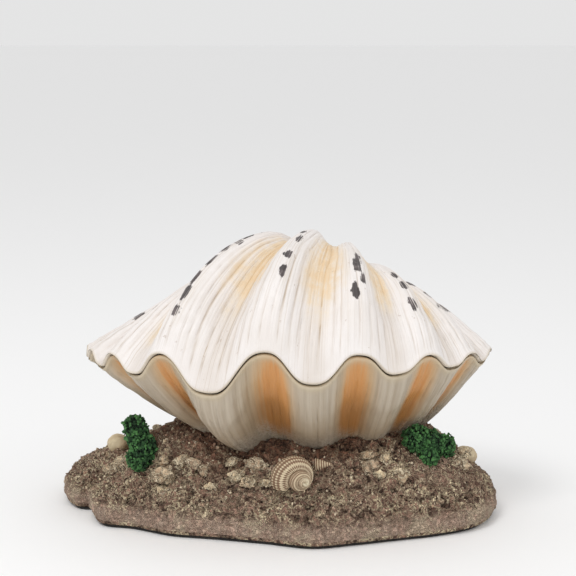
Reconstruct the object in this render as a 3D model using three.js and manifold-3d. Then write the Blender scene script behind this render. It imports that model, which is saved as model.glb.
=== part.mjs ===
// An air-driven giant clam ornament for an aquarium, in millimetres, +Z up.
// A cast sand-and-rubble base holds a fluted lower valve. An air line pushes onto a barb at the back, and a
// tube in the base carries the air to a bubble stone in the valve. The air that gathers under the upper valve
// lifts it about a pin at the back, until it spills and the valve drops shut.
// The origin is on the resting plane, under the middle of the object; -Y is the side that opens.

import * as THREE from "three";
import { mergeVertices } from "three/addons/utils/BufferGeometryUtils.js";
import Module from "manifold-3d";

const wasm = await Module();
wasm.setup();

// ---------------------------------------------------------------- driving dimensions

const GAP = 0.35; // clearance between pieces that touch or are bonded

// Outline of the base on the resting plane, seen from above, anticlockwise from the front. It is fitted to
// the lengths below.
const OUTLINE = [
  [11, -53], [25, -49.5], [39, -44.8], [54, -39.5], [66, -32], [73, -19], [74.5, -3], [71, 13], [62, 30],
  [44, 45], [19, 53], [-14, 51], [-43, 47], [-64, 34], [-73.5, 17], [-74, 2], [-69.5, -8], [-64, -10],
  [-62.5, -18], [-58.5, -28], [-48, -31.8], [-35, -39.5], [-21, -43], [-4, -48],
];

const BASE = {
  halfLength: 74,
  halfDepth: 53,
  pad: 1.2, // thickness of the foam sheet under the casting
  padInset: 0.965, // share of the outline that the foam sheet covers
};

const SHELL = {
  x: 4,
  y: -7,
  rimHeight: 54,
  halfWidth: 67.5,
  frontDepth: 40,
  backDepth: 32,
  rimGap: 0.4, // half of the slit between the closed valves
  lip: 1.8, // upright edge of a valve at the rim
  wall: 3,
};

// Each rib: angle round the rim from the front in degrees, crest of the upper valve above the rim plane,
// depth of the lower valve below it, arch that the rib lifts in the rim, and dip of the tongue between it and
// the next rib.
const RIBS = [
  [-150, 12, 25, 0.5, 0.5],
  [-118, 16, 25, 0.8, 0.8],
  [-93, 20, 26, 1.4, 1.2],
  [-75, 22, 26, 2.4, 1.6],
  [-58, 26.5, 27, 3.2, 2.0],
  [-38, 36.5, 29, 5.4, 6.2],
  [-7, 37, 30.5, 7.4, 2.8],
  [19, 33, 31, 6.2, 0.8],
  [41.5, 26, 30, 4.4, 0.4],
  [61, 21, 28, 2.8, 0.8],
  [80, 17, 27, 1.6, 1.0],
  [110, 14, 26, 0.9, 0.8],
  [145, 12, 25, 0.6, 0.5],
].map(([angle, crest, depth, arch, dip]) => ({ angle, crest, depth, arch, dip }));

const TONGUE_WIDTH = 0.85; // under 1, the tongues are wider than the arches
const SQUARENESS = 0.6; // 0 gives the rim round waves, 1 flat ones with steep flanks
const SIDE_RELIEF = 0.45; // share of the fold that also pushes the wall sideways
const SUMMIT = 0.6; // where along a rib its highest point lies, from the rim

// foldFade: how fast a fold dies away from the rim to the beak. bow: how far the ribs of the front left lean
// outwards on their way down.
const UPPER = { beak: [22, 18], beakRise: 12, frontSteepness: 0.72, sideSteepness: 1.5, foldFade: 1.25, bow: 0 };
const LOWER = { beak: [20, 8], beakRise: 29, frontSteepness: 0.85, sideSteepness: 1.5, foldFade: 2.4, bow: -6.5 };
const BOW = { angle: -14, spread: 20 };

const HINGE = {
  x: 6,
  y: 31.5,
  z: 54.5,
  pinRadius: 1.5,
  pinHalf: 16.5,
  barrelRadius: 4,
  barrelHalf: 10,
  leafFront: 11, // the leaf starts inside the back of the upper valve, which trims it
  leafBottom: 56,
  leafTop: 63,
  leafSlope: 48, // degrees that the leaf's back leans forwards, so that it clears the bracket when open
  earInner: 10.6,
  earOuter: 14,
  earRadius: 4.6,
  webTop: 44,
  foot: 13,
  capRadius: 3.2,
  capLength: 3.4,
};

const AIR = {
  x: HINGE.x,
  riserY: 4,
  height: 9, // of the inlet and of the tube in the base
  bend: 9,
  tubeRadius: 3,
  tubeBore: 2,
  spigotRadius: 1.7,
  bore: 0.9, // radius of the airway in the fittings
  trenchHalf: 4,
  trenchTop: 14,
  pocketFront: 41, // wall of the recess that the inlet sits in
  pocketHalf: 11,
  pocketTop: 20,
  tubeStandOff: 0.8, // from the end of the tube to the wall of the recess
};

// The inlet: a flange against the recess, then a collar and barbs for hose of 4 mm bore.
const INLET = {
  spigotLength: 10, // in the tube
  flangeRadius: 5,
  flange: 2,
  collarRadius: 2.6,
  collar: 1.1,
  barbs: 3,
  barbPitch: 2.8,
  barbRadius: 2.5,
  barbDepth: 0.6,
};

// The air stone stands on a disc that is pushed into the top of the tube.
const STONE = {
  holderZ: 31,
  spigotBelow: 9, // in the tube
  spigotAbove: 6, // in the stone
  discRadius: 5.5,
  discEdge: 1.6,
  discMiddle: 2.2,
  lift: 2.6, // of the stone above the underside of the disc
  radius: 5,
  length: 13,
  chamfer: 0.8,
  socket: 5,
  seatRadius: 7, // of the hole in the mantle
};

const MANTLE = { clearance: 2.9, thickness: 3, top: 49, slices: 42, rows: 6 };
const PEARL = { radius: 6.5, place: [8, -14.5, 42.8] };

// Where the rubble is heaped higher: x, y, radius and height.
const MOUNDS = [
  [-33, -19, 12.5, 8],
  [48, -12, 13, 3],
  [8, 32, 22, 2],
  [30, -36, 14, 1.5],
].map(([x, y, radius, height]) => ({ x, y, radius, height }));

const MOUND_FLOOR = 9; // the mounds rise out of the casting above this height

// Section of the base from its edge to its middle: share of the outline, and the heights at the left, in the
// middle and at the right.
const SLOPE = [
  [0.975, BASE.pad, BASE.pad, BASE.pad],
  [1.0, 4, 4, 4],
  [0.99, 7.5, 7.5, 7.5],
  [0.95, 10.5, 10.5, 11],
  [0.86, 14, 14, 16],
  [0.76, 17.5, 19, 22.5],
  [0.66, 20, 24, 26.5],
  [0.56, 22.5, 28, 29],
  [0.4, 27, 29, 29],
  [0.2, 29, 29, 29],
].map(([share, ...heights]) => ({ share, heights }));
const SLOPE_SPREAD = 45; // how far from the middle the heights at the sides are reached

// Tufts of the moss clumps: x, y, z and radius.
const MOSS = {
  moss_left: [
    [-46.5, -22, 32.5, 3.6],
    [-45.5, -22, 29, 4.2],
    [-44, -23, 26, 4.6],
    [-45, -24, 21.5, 4.2],
  ],
  moss_right: [
    [45.5, -24, 28.5, 4.4],
    [50, -23, 26.5, 4.6],
    [55, -20, 25, 3.8],
    [49, -26, 23, 3.6],
  ],
};

const SNAIL = {
  place: [5.2, -41.5, 22],
  lean: [99, 27, 28].map(THREE.MathUtils.degToRad),
  turns: 2.2,
  balls: 10,
  mouth: 4.6,
  taper: 0.86, // share of the mouth's size that is lost by the apex
  orbit: 0.62,
  height: 8.5,
};
const CONE = {
  place: [14.2, -39.5, 24.5],
  lean: [0, 80, -15].map(THREE.MathUtils.degToRad),
  radius: 1.9,
  length: 6,
};
const PEBBLES = {
  pebble_left: { place: [-54.5, 3, 20], size: [3.8, 3.4, 3.4] },
  pebble_right: { place: [64.5, 2, 16], size: [4.4, 3.8, 3.1] },
};

const SLICES = 84; // facets round a valve
const ROWS = 8; // rows of facets from the rim to the beak
const INNER_ROWS = 6;
const FIRST_ROW = Math.pow(1 / ROWS, 1.5); // where the first row above the rim lies
const BASE_SLICES = 72;
const ROUND = 20; // sides of a small round piece

// ---------------------------------------------------------------- materials

const paint = (color, roughness, metalness = 0) =>
  new THREE.MeshStandardMaterial({ color, roughness, metalness });

const FINISH = {
  sand: paint(0x8a705e, 0.95),
  shellTop: paint(0xf0ebe4, 0.5),
  shellBottom: paint(0xb8a58a, 0.5),
  moss: paint(0x1f5a30, 1.0),
  pebble: paint(0xd8c9a0, 0.7),
  snail: paint(0xa98a66, 0.7),
  mantle: paint(0xc98f86, 0.4),
  pearl: paint(0xf4eee6, 0.15),
  plastic: paint(0x2c2c2e, 0.45),
  clearPlastic: paint(0xdfe6e6, 0.3),
  silicone: paint(0xe9ecec, 0.4),
  steel: paint(0xb9bcc0, 0.3, 1.0),
  stone: paint(0x6f86a0, 0.95),
  foam: paint(0x2b2b2b, 0.9),
};

// ---------------------------------------------------------------- solids

function solidOf(geometry) {
  const bare = geometry.clone();
  bare.deleteAttribute("normal");
  bare.deleteAttribute("uv");
  const merged = mergeVertices(bare, 1e-4);
  return new wasm.Manifold(
    new wasm.Mesh({
      numProp: 3,
      vertProperties: merged.attributes.position.array,
      triVerts: new Uint32Array(merged.index.array),
    }),
  );
}

function geometryOf(solid) {
  const mesh = solid.getMesh();
  const points = new Float32Array(mesh.numVert * 3);
  for (let i = 0; i < mesh.numVert; i++) {
    points.set(mesh.vertProperties.subarray(i * mesh.numProp, i * mesh.numProp + 3), i * 3);
  }
  return new THREE.BufferGeometry()
    .setAttribute("position", new THREE.BufferAttribute(points, 3))
    .setIndex(new THREE.BufferAttribute(mesh.triVerts, 1));
}

function block([x0, x1], [y0, y1], [z0, z1]) {
  const shape = new THREE.BoxGeometry(x1 - x0, y1 - y0, z1 - z0);
  return solidOf(shape.translate((x0 + x1) / 2, (y0 + y1) / 2, (z0 + z1) / 2));
}

// A round bar along X, Y or Z from one coordinate to another, centred on the other two.
function bar(axis, radius, [from, to], [u, v], sides = ROUND) {
  const shape = new THREE.CylinderGeometry(radius, radius, to - from, sides);
  const middle = (from + to) / 2;
  if (axis === "x") shape.rotateZ(Math.PI / 2).translate(middle, u, v);
  if (axis === "y") shape.translate(u, middle, v);
  if (axis === "z") shape.rotateX(Math.PI / 2).translate(u, v, middle);
  return solidOf(shape);
}

// A turned piece: [radius, height] pairs that close on themselves, standing on +Z.
function turned(profile, sides = ROUND) {
  const outline = profile.map(([r, h]) => new THREE.Vector2(r, h));
  if (profile[0][0] > 0) outline.push(outline[0].clone());
  return new THREE.LatheGeometry(outline, sides).rotateX(Math.PI / 2);
}

const root = new THREE.Group();

function piece(name, shape, material, place = [0, 0, 0], turn = [0, 0, 0]) {
  const mesh = new THREE.Mesh(shape.isBufferGeometry ? shape : geometryOf(shape), material);
  mesh.name = name;
  mesh.position.set(...place);
  mesh.rotation.set(...turn);
  root.add(mesh);
  return mesh;
}

// ---------------------------------------------------------------- valves

const radians = (degrees) => (degrees * Math.PI) / 180;

// The ribs at an angle: the heights mixed from the two nearest ribs, and the fold between them.
function ribsAt(angle) {
  const count = RIBS.length;
  const wrapped = angle < RIBS[0].angle ? angle + 360 : angle;
  let i = count - 1;
  while (i > 0 && RIBS[i].angle > wrapped) i--;
  const a = RIBS[i];
  const b = RIBS[(i + 1) % count];
  const span = (b.angle - a.angle + 360) % 360;
  const t = (wrapped - a.angle) / span;
  const ease = t * t * (3 - 2 * t);
  const mix = (key) => a[key] + (b[key] - a[key]) * ease;
  const wave = 0.5 - 0.5 * Math.cos(2 * Math.PI * t);
  const dip = THREE.MathUtils.lerp(Math.pow(wave, TONGUE_WIDTH), wave * wave * (3 - 2 * wave), SQUARENESS);
  return { crest: mix("crest"), depth: mix("depth"), fold: mix("arch") * (1 - dip) - a.dip * dip };
}

// Height along a rib from the rim (0) over the summit to the beak (1), as a share of the summit.
function profileAt(s, steepness, beakShare) {
  if (s < SUMMIT) return Math.pow(1 - Math.pow(1 - s / SUMMIT, 2), steepness);
  return 1 - (1 - beakShare) * Math.pow((s - SUMMIT) / (1 - SUMMIT), 1.7);
}

// A point of a valve. side is 1 for the upper valve and -1 for the lower; grow moves the surface outwards.
function valvePoint(side, angle, s, grow) {
  const valve = side > 0 ? UPPER : LOWER;
  const ribs = ribsAt(angle);
  const a = radians(angle);
  const height = (side > 0 ? ribs.crest : ribs.depth) + grow;
  const sideways = Math.abs(Math.sin(a)) ** 3;
  const steepness = valve.frontSteepness + (valve.sideSteepness - valve.frontSteepness) * sideways;
  const relief = SIDE_RELIEF * ribs.fold * side * Math.sin(Math.PI * Math.min(1, 2 * s));
  const push = relief + grow * (1 - s);
  const depth = Math.cos(a) > 0 ? SHELL.frontDepth : SHELL.backDepth;
  const rimX = SHELL.x + (SHELL.halfWidth + push) * Math.sin(a);
  const rimY = SHELL.y - (depth + push) * Math.cos(a);
  const lip = Math.min(1, s / FIRST_ROW) * (SHELL.lip + Math.min(grow, 0));
  const share = profileAt(s, steepness, (valve.beakRise + grow) / height);
  const fold = ribs.fold * Math.pow(1 - s, valve.foldFade);
  const bow = valve.bow * 4 * s * (1 - s) * Math.exp(-(((angle - BOW.angle) / BOW.spread) ** 2));
  return [
    rimX + (valve.beak[0] - rimX) * s + bow,
    rimY + (valve.beak[1] - rimY) * s,
    SHELL.rimHeight + side * (SHELL.rimGap + Math.max(0, lip) + height * share) + fold,
  ];
}

// One skin of a valve, from the rim rows to the beak: a fan of rows, given as points and triangles.
function valveSkin(side, grow, rows, slices = SLICES) {
  const angles = Array.from({ length: slices }, (_, i) => -180 + (360 * i) / slices);
  const points = [];
  for (let k = 0; k < rows; k++) {
    const s = Math.pow(k / rows, 1.5);
    for (const angle of angles) points.push(valvePoint(side, angle, s, grow));
  }
  points.push(valvePoint(side, 0, 1, grow));
  const beak = points.length - 1;
  const triangles = [];
  for (let i = 0; i < slices; i++) {
    const j = (i + 1) % slices;
    for (let k = 0; k < rows - 1; k++) {
      const [p, q] = [k * slices, (k + 1) * slices];
      triangles.push([p + i, p + j, q + j], [p + i, q + j, q + i]);
    }
    triangles.push([(rows - 1) * slices + i, (rows - 1) * slices + j, beak]);
  }
  return { points, triangles };
}

function solidFrom(points, triangles) {
  const geometry = new THREE.BufferGeometry();
  geometry.setAttribute("position", new THREE.Float32BufferAttribute(points.flat(), 3));
  geometry.setIndex(triangles.flat());
  return solidOf(geometry);
}

const flipped = ([a, b, c]) => [a, c, b];

// The valve as a wall of even thickness with a flat land along the rim.
function valve(side) {
  const outer = valveSkin(side, 0, ROWS);
  const inner = valveSkin(side, -SHELL.wall, INNER_ROWS);
  const shift = outer.points.length;
  const moved = inner.triangles.map((t) => t.map((v) => v + shift));
  const land = [];
  for (let i = 0; i < SLICES; i++) {
    const j = (i + 1) % SLICES;
    land.push([j, i, shift + i], [j, shift + i, shift + j]);
  }
  const faces = [...outer.triangles, ...moved.map(flipped), ...land];
  return solidFrom([...outer.points, ...inner.points], side > 0 ? faces : faces.map(flipped));
}

// Everything inside a skin of the valve, closed across the rim: used to cut and to fit its neighbours.
function valveBody(side, grow, rows = ROWS, slices = SLICES) {
  const skin = valveSkin(side, grow, rows, slices);
  const centre = skin.points.length;
  const points = [...skin.points, [SHELL.x, SHELL.y, SHELL.rimHeight]];
  const faces = [...skin.triangles];
  for (let i = 0; i < slices; i++) faces.push([(i + 1) % slices, i, centre]);
  return solidFrom(points, side > 0 ? faces : faces.map(flipped));
}

// ---------------------------------------------------------------- base

const moundHeight = (x, y) =>
  MOUNDS.reduce((sum, m) => sum + m.height * Math.exp(-((x - m.x) ** 2 + (y - m.y) ** 2) / m.radius ** 2), 0);

const OUTLINE_RING = (() => {
  const knots = OUTLINE.map(([x, y]) => new THREE.Vector3(x, y, 0));
  const curve = new THREE.CatmullRomCurve3(knots, true, "catmullrom", 0.5);
  const ring = Array.from({ length: BASE_SLICES }, (_, i) => curve.getPoint(i / BASE_SLICES));
  const box = new THREE.Box3().setFromPoints(ring);
  const fit = (value, low, high, half) => (((value - low) / (high - low)) * 2 - 1) * half;
  return ring.map((p) => [
    fit(p.x, box.min.x, box.max.x, BASE.halfLength),
    fit(p.y, box.min.y, box.max.y, BASE.halfDepth),
  ]);
})();

const outlineRing = (share) => OUTLINE_RING.map(([x, y]) => [x * share, y * share]);

// A closed stack of rings of points, with a fan over each end.
function stackOf(rings) {
  const count = rings[0].length;
  const middle = (ring) => [0, 0, ring[0][2]];
  const points = [...rings.flat(), middle(rings.at(-1)), middle(rings[0])];
  const faces = [];
  const last = (rings.length - 1) * count;
  for (let i = 0; i < count; i++) {
    const j = (i + 1) % count;
    for (let p = 0; p < last; p += count) {
      faces.push([p + i, p + j, p + count + j], [p + i, p + count + j, p + count + i]);
    }
    faces.push([last + i, last + j, points.length - 2], [j, i, points.length - 1]);
  }
  return solidFrom(points, faces);
}

function baseCasting() {
  const height = (x, y, share, [left, middle, right]) => {
    const side = Math.min(1, Math.abs(x) / SLOPE_SPREAD);
    const z = THREE.MathUtils.lerp(middle, x < 0 ? left : right, side);
    return z > MOUND_FLOOR && share > 0.3 ? z + moundHeight(x, y) : z;
  };
  const rings = SLOPE.map(({ share, heights }) =>
    outlineRing(share).map(([x, y]) => [x, y, height(x, y, share, heights)]),
  );
  return stackOf(rings);
}

function basePad() {
  return stackOf([0, BASE.pad - GAP].map((z) => outlineRing(BASE.padInset).map(([x, y]) => [x, y, z])));
}

// ---------------------------------------------------------------- hinge

const HINGE_ENDS = [HINGE.x - HINGE.barrelHalf, HINGE.x + HINGE.barrelHalf];
const axle = (radius, [from, to]) => bar("x", radius, [from, to], [HINGE.y, HINGE.z]);

// Two ears on a foot that is set in the casting; widen makes the pocket that it stands in.
function hingeBracket(widen = 0) {
  const depth = [HINGE.y - HINGE.earRadius - widen, HINGE.y + HINGE.earRadius + widen];
  const ear = (side) => {
    const ends = [HINGE.x + side * HINGE.earInner, HINGE.x + side * HINGE.earOuter].sort((a, b) => a - b);
    const span = [ends[0] - widen, ends[1] + widen];
    return block(span, depth, [HINGE.foot - widen, HINGE.z]).add(axle(HINGE.earRadius + widen, span));
  };
  const width = [HINGE.x - HINGE.earOuter, HINGE.x + HINGE.earOuter];
  const web = block(width, depth, [HINGE.foot - widen, HINGE.webTop]);
  return web.add(ear(-1)).add(ear(1));
}

function bracketWithBores() {
  const reach = HINGE.earOuter + 1;
  return hingeBracket()
    .subtract(axle(HINGE.pinRadius + GAP, [HINGE.x - reach, HINGE.x + reach]))
    .subtract(valveBody(-1, GAP));
}

// The knuckle that turns on the pin, with a leaf bonded to the back of the upper valve.
function hingeKnuckle() {
  const leaf = block(HINGE_ENDS, [HINGE.leafFront, HINGE.y], [HINGE.leafBottom, HINGE.leafTop]);
  const slope = block([-50, 50], [-20, 20], [0, 30])
    .rotate([-HINGE.leafSlope, 0, 0])
    .translate([HINGE.x, HINGE.y + 2, HINGE.z + 3]);
  return leaf
    .subtract(slope)
    .add(axle(HINGE.barrelRadius, HINGE_ENDS))
    .subtract(axle(HINGE.pinRadius + GAP, [HINGE_ENDS[0] - 1, HINGE_ENDS[1] + 1]))
    .subtract(valveBody(1, GAP));
}

function pinCap(side) {
  const from = HINGE.earOuter + GAP;
  const to = from + HINGE.capLength;
  const span = (a, b) => [HINGE.x + side * a, HINGE.x + side * b].sort((p, q) => p - q);
  const socket = axle(HINGE.pinRadius + GAP, span(from - 1, HINGE.pinHalf + GAP));
  return axle(HINGE.capRadius, span(from, to)).subtract(socket);
}

// ---------------------------------------------------------------- air line

const OUTWARD = [-Math.PI / 2, 0, 0]; // stands a turned piece's axis along +Y

function inletBarb() {
  const { bore, spigotRadius } = AIR;
  const { spigotLength, flangeRadius, flange, collarRadius, collar } = INLET;
  const { barbs, barbPitch, barbRadius, barbDepth } = INLET;
  const root = barbRadius - barbDepth;
  const profile = [
    [bore, -spigotLength], [spigotRadius, -spigotLength], [spigotRadius, 0], [flangeRadius, 0],
    [flangeRadius, flange], [collarRadius, flange], [collarRadius, flange + collar],
  ];
  for (let i = 0; i < barbs; i++) {
    const foot = flange + collar + barbPitch * i;
    profile.push([root, foot], [barbRadius, foot + barbDepth]);
  }
  const tip = flange + collar + barbPitch * barbs;
  profile.push([root, tip], [bore, tip]);
  return turned(profile);
}

function airTube() {
  const { x, riserY, height, bend, tubeRadius, tubeBore } = AIR;
  const path = new THREE.CurvePath();
  const start = new THREE.Vector3(x, AIR.pocketFront - AIR.tubeStandOff, height);
  const corner = new THREE.Vector3(x, riserY, height);
  const bendStart = corner.clone().add(new THREE.Vector3(0, bend, 0));
  const bendEnd = corner.clone().add(new THREE.Vector3(0, 0, bend));
  path.add(new THREE.LineCurve3(start, bendStart));
  path.add(new THREE.QuadraticBezierCurve3(bendStart, corner, bendEnd));
  path.add(new THREE.LineCurve3(bendEnd, new THREE.Vector3(x, riserY, STONE.holderZ - 1)));
  const section = new THREE.Shape().absarc(0, 0, tubeRadius, 0, 2 * Math.PI, false);
  section.holes.push(new THREE.Path().absarc(0, 0, tubeBore, 0, 2 * Math.PI, true));
  const settings = { steps: 12, extrudePath: path, bevelEnabled: false, curveSegments: 6 };
  return new THREE.ExtrudeGeometry(section, settings);
}

function stoneHolder() {
  const { bore, spigotRadius } = AIR;
  const { spigotBelow, spigotAbove, discRadius, discEdge, discMiddle } = STONE;
  return turned([
    [bore, -spigotBelow], [spigotRadius, -spigotBelow], [spigotRadius, 0], [discRadius, 0],
    [discRadius, discEdge], [spigotRadius, discMiddle], [spigotRadius, spigotAbove], [bore, spigotAbove],
  ]);
}

function airStone() {
  const { radius, length, chamfer, socket } = STONE;
  const hole = AIR.spigotRadius + GAP;
  return turned([
    [0, socket], [hole, socket], [hole, 0], [radius - chamfer, 0],
    [radius, chamfer], [radius, length - chamfer], [radius - chamfer, length], [0, length],
  ]);
}

// ---------------------------------------------------------------- trim on the base

// A whorled snail shell: balls of shrinking size strung along a rising spiral.
function turbanSnail() {
  const { turns, balls, mouth, taper, orbit, height } = SNAIL;
  let whole = null;
  for (let i = 0; i < balls; i++) {
    const t = i / (balls - 1);
    const size = mouth * (1 - taper * t);
    const angle = 2 * Math.PI * turns * t;
    const [x, y] = [orbit * size * Math.cos(angle), orbit * size * Math.sin(angle)];
    const solid = solidOf(new THREE.SphereGeometry(size, 8, 6).translate(x, y, height * t));
    whole = whole ? whole.add(solid) : solid;
  }
  return whole;
}

// A clump of moss: overlapping tufts, given as [x, y, z, radius].
function mossClump(tufts) {
  const balls = tufts.map(([x, y, z, r]) => solidOf(new THREE.IcosahedronGeometry(r, 1).translate(x, y, z)));
  return balls.reduce((whole, ball) => whole.add(ball));
}

function pebble({ place, size }) {
  return solidOf(new THREE.SphereGeometry(1, 14, 8).scale(...size).translate(...place));
}

const leaning = (solid, { place, lean }) => {
  const turn = new THREE.Matrix4().makeRotationFromEuler(new THREE.Euler(...lean));
  turn.setPosition(...place);
  return solid.transform(turn.elements);
};

// ---------------------------------------------------------------- pieces

const trench = block(
  [AIR.x - AIR.trenchHalf, AIR.x + AIR.trenchHalf],
  [AIR.riserY - AIR.trenchHalf, AIR.pocketFront],
  [0, AIR.trenchTop],
);
const elbowRoom = block(
  [AIR.x - AIR.trenchHalf, AIR.x + AIR.trenchHalf],
  [AIR.riserY - AIR.trenchHalf, AIR.riserY + AIR.bend + 2],
  [0, AIR.height + AIR.bend + 1],
);
const riser = bar("z", AIR.tubeRadius + GAP, [AIR.height, STONE.holderZ], [AIR.x, AIR.riserY]);
const pocket = block(
  [AIR.x - AIR.pocketHalf, AIR.x + AIR.pocketHalf],
  [AIR.pocketFront, 60],
  [0, AIR.pocketTop],
);

const snail = leaning(turbanSnail(), SNAIL);
const cone = leaning(solidOf(new THREE.ConeGeometry(CONE.radius, CONE.length, 10)), CONE);
const clearOfShell = valveBody(-1, GAP);
const mapped = (table, make) =>
  Object.fromEntries(Object.entries(table).map(([name, value]) => [name, make(value)]));
const mosses = mapped(MOSS, (tufts) => mossClump(tufts).subtract(clearOfShell));
const pebbles = mapped(PEBBLES, pebble);

// A slightly larger copy about a piece's own middle: the socket that it is bonded into.
function socketOf(solid) {
  const { min, max } = solid.boundingBox();
  const middle = min.map((v, i) => (v + max[i]) / 2);
  const reach = Math.min(...min.map((v, i) => (max[i] - v) / 2));
  const scale = 1 + (GAP * 1.7) / reach;
  return solid.translate(middle.map((v) => -v)).scale(scale).translate(middle);
}

const grown = ([x, y, z, r]) => [x, y, z, r + GAP * 1.3];
const sockets = [
  ...[snail, cone, ...Object.values(pebbles)].map(socketOf),
  ...Object.values(MOSS).map((tufts) => mossClump(tufts.map(grown))),
];

let casting = baseCasting()
  .subtract(clearOfShell)
  .subtract(hingeBracket(GAP))
  .subtract(trench.add(elbowRoom))
  .subtract(riser)
  .subtract(pocket);
for (const socket of sockets) casting = casting.subtract(socket);

const stoneSeat = bar("z", STONE.seatRadius, [STONE.holderZ - 2, 60], [AIR.x, AIR.riserY]);
const throughHole = bar("z", AIR.tubeRadius + GAP, [0, 60], [AIR.x, AIR.riserY]);

function mantle() {
  const { clearance, thickness, top, slices, rows } = MANTLE;
  const outer = valveBody(-1, -(SHELL.wall + clearance), rows, slices);
  const hollow = valveBody(-1, -(SHELL.wall + clearance + thickness), rows, slices);
  return outer.subtract(hollow).subtract(block([-90, 90], [-90, 90], [top, 90])).subtract(stoneSeat);
}

piece("sand_base", casting, FINISH.sand);
piece("base_pad", basePad(), FINISH.foam);
piece("lower_valve", valve(-1).subtract(throughHole), FINISH.shellBottom);
piece("mantle", mantle(), FINISH.mantle);
piece("pearl", new THREE.SphereGeometry(PEARL.radius, 20, 12), FINISH.pearl, PEARL.place);
piece("upper_valve", valve(1), FINISH.shellTop);
piece("hinge_bracket", bracketWithBores(), FINISH.plastic);
piece("hinge_knuckle", hingeKnuckle(), FINISH.plastic);
piece("hinge_pin", axle(HINGE.pinRadius, [HINGE.x - HINGE.pinHalf, HINGE.x + HINGE.pinHalf]), FINISH.steel);
piece("pin_cap_left", pinCap(-1), FINISH.plastic);
piece("pin_cap_right", pinCap(1), FINISH.plastic);
piece("inlet_barb", inletBarb(), FINISH.clearPlastic, [AIR.x, AIR.pocketFront + GAP, AIR.height], OUTWARD);
piece("air_tube", airTube(), FINISH.silicone);
piece("stone_holder", stoneHolder(), FINISH.clearPlastic, [AIR.x, AIR.riserY, STONE.holderZ]);
piece("air_stone", airStone(), FINISH.stone, [AIR.x, AIR.riserY, STONE.holderZ + STONE.lift]);
piece("turban_snail", snail, FINISH.snail);
piece("cone_shell", cone, FINISH.snail);
for (const [name, solid] of Object.entries(mosses)) piece(name, solid, FINISH.moss);
for (const [name, solid] of Object.entries(pebbles)) piece(name, solid, FINISH.pebble);

export default root;
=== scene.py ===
import math
import random

import bpy
import numpy as np
from bpy.props import FloatProperty, FloatVectorProperty, IntProperty, PointerProperty
from mathutils import Euler, Matrix, Vector, noise
from mathutils.bvhtree import BVHTree


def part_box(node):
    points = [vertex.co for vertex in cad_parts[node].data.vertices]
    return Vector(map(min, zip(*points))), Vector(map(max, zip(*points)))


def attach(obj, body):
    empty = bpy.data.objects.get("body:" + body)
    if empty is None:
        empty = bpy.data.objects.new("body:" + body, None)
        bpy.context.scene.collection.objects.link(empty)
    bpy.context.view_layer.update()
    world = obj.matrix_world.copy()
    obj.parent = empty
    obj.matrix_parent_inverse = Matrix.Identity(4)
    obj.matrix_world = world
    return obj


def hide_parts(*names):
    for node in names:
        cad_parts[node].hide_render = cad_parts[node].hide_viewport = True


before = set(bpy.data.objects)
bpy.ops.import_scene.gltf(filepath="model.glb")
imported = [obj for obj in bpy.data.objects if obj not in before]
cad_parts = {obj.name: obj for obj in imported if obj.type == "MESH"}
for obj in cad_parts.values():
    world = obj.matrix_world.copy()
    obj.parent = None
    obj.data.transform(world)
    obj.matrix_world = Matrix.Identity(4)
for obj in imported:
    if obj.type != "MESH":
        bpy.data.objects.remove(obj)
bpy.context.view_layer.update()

bl_info = {
    "name": "Bubbling Clam Ornament",
    "version": (1, 0, 0),
    "blender": (4, 5, 0),
    "location": "View3D > Sidebar > Clam",
    "description": "Builds the visible pieces of an air-driven clam ornament around its packed frame",
    "category": "Object",
}

MM = 0.001
TAU = 2 * math.pi

# ---------------------------------------------------------------- design values, in millimetres and degrees

SHELL_CENTRE = (4.0, -7.0)
RIM_HEIGHT = 54.0
HALF_WIDTH = 67.5
FRONT_DEPTH = 40.0
BACK_DEPTH = 32.0
RIM_GAP = 0.2
RIM_ROUND = 0.28  # how far the rounded edges of the rims draw back from the gap
LIP = 1.8
WALL = 3.0
TONGUE_WIDTH = 0.85  # under 1, the tongues are wider than the arches
SQUARENESS = 0.6  # 0 gives the rim round waves, 1 flat ones with steep flanks
SIDE_RELIEF = 0.45
SUMMIT = 0.6
FRONT_SPACING = 0.6  # under 1, a valve's facets are narrower at the front than at the back
LIP_REACH = 0.044  # share of the way to the beak over which the rim's upright edge rises

# Ribs: angle round the rim, crest of the upper valve, depth of the lower one, and the rim's arch and next dip.
RIBS = np.array([
    (-150, 12, 25, 0.5, 0.5),
    (-118, 16, 25, 0.8, 0.8),
    (-93, 20, 26, 1.4, 1.2),
    (-75, 22, 26, 2.4, 1.6),
    (-58, 26.5, 27, 3.2, 2.0),
    (-38, 36.5, 29, 5.4, 6.2),
    (-7, 37, 30.5, 7.4, 2.8),
    (19, 33, 31, 6.2, 0.8),
    (41.5, 26, 30, 4.4, 0.4),
    (61, 21, 28, 2.8, 0.8),
    (80, 17, 27, 1.6, 1.0),
    (110, 14, 26, 0.9, 0.8),
    (145, 12, 25, 0.6, 0.5),
])

# fade: how fast a fold dies away from the rim to the beak. bow: how far the ribs of the front left lean
# outwards on their way down.
UPPER = {"side": 1, "beak": (22.0, 18.0), "rise": 12.0, "front": 0.72, "sides": 1.5, "fade": 1.25, "bow": 0.0}
LOWER = {"side": -1, "beak": (20.0, 8.0), "rise": 29.0, "front": 0.85, "sides": 1.5, "fade": 2.4, "bow": -6.5}
BOW_ANGLE = -14.0
BOW_SPREAD = 20.0

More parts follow.
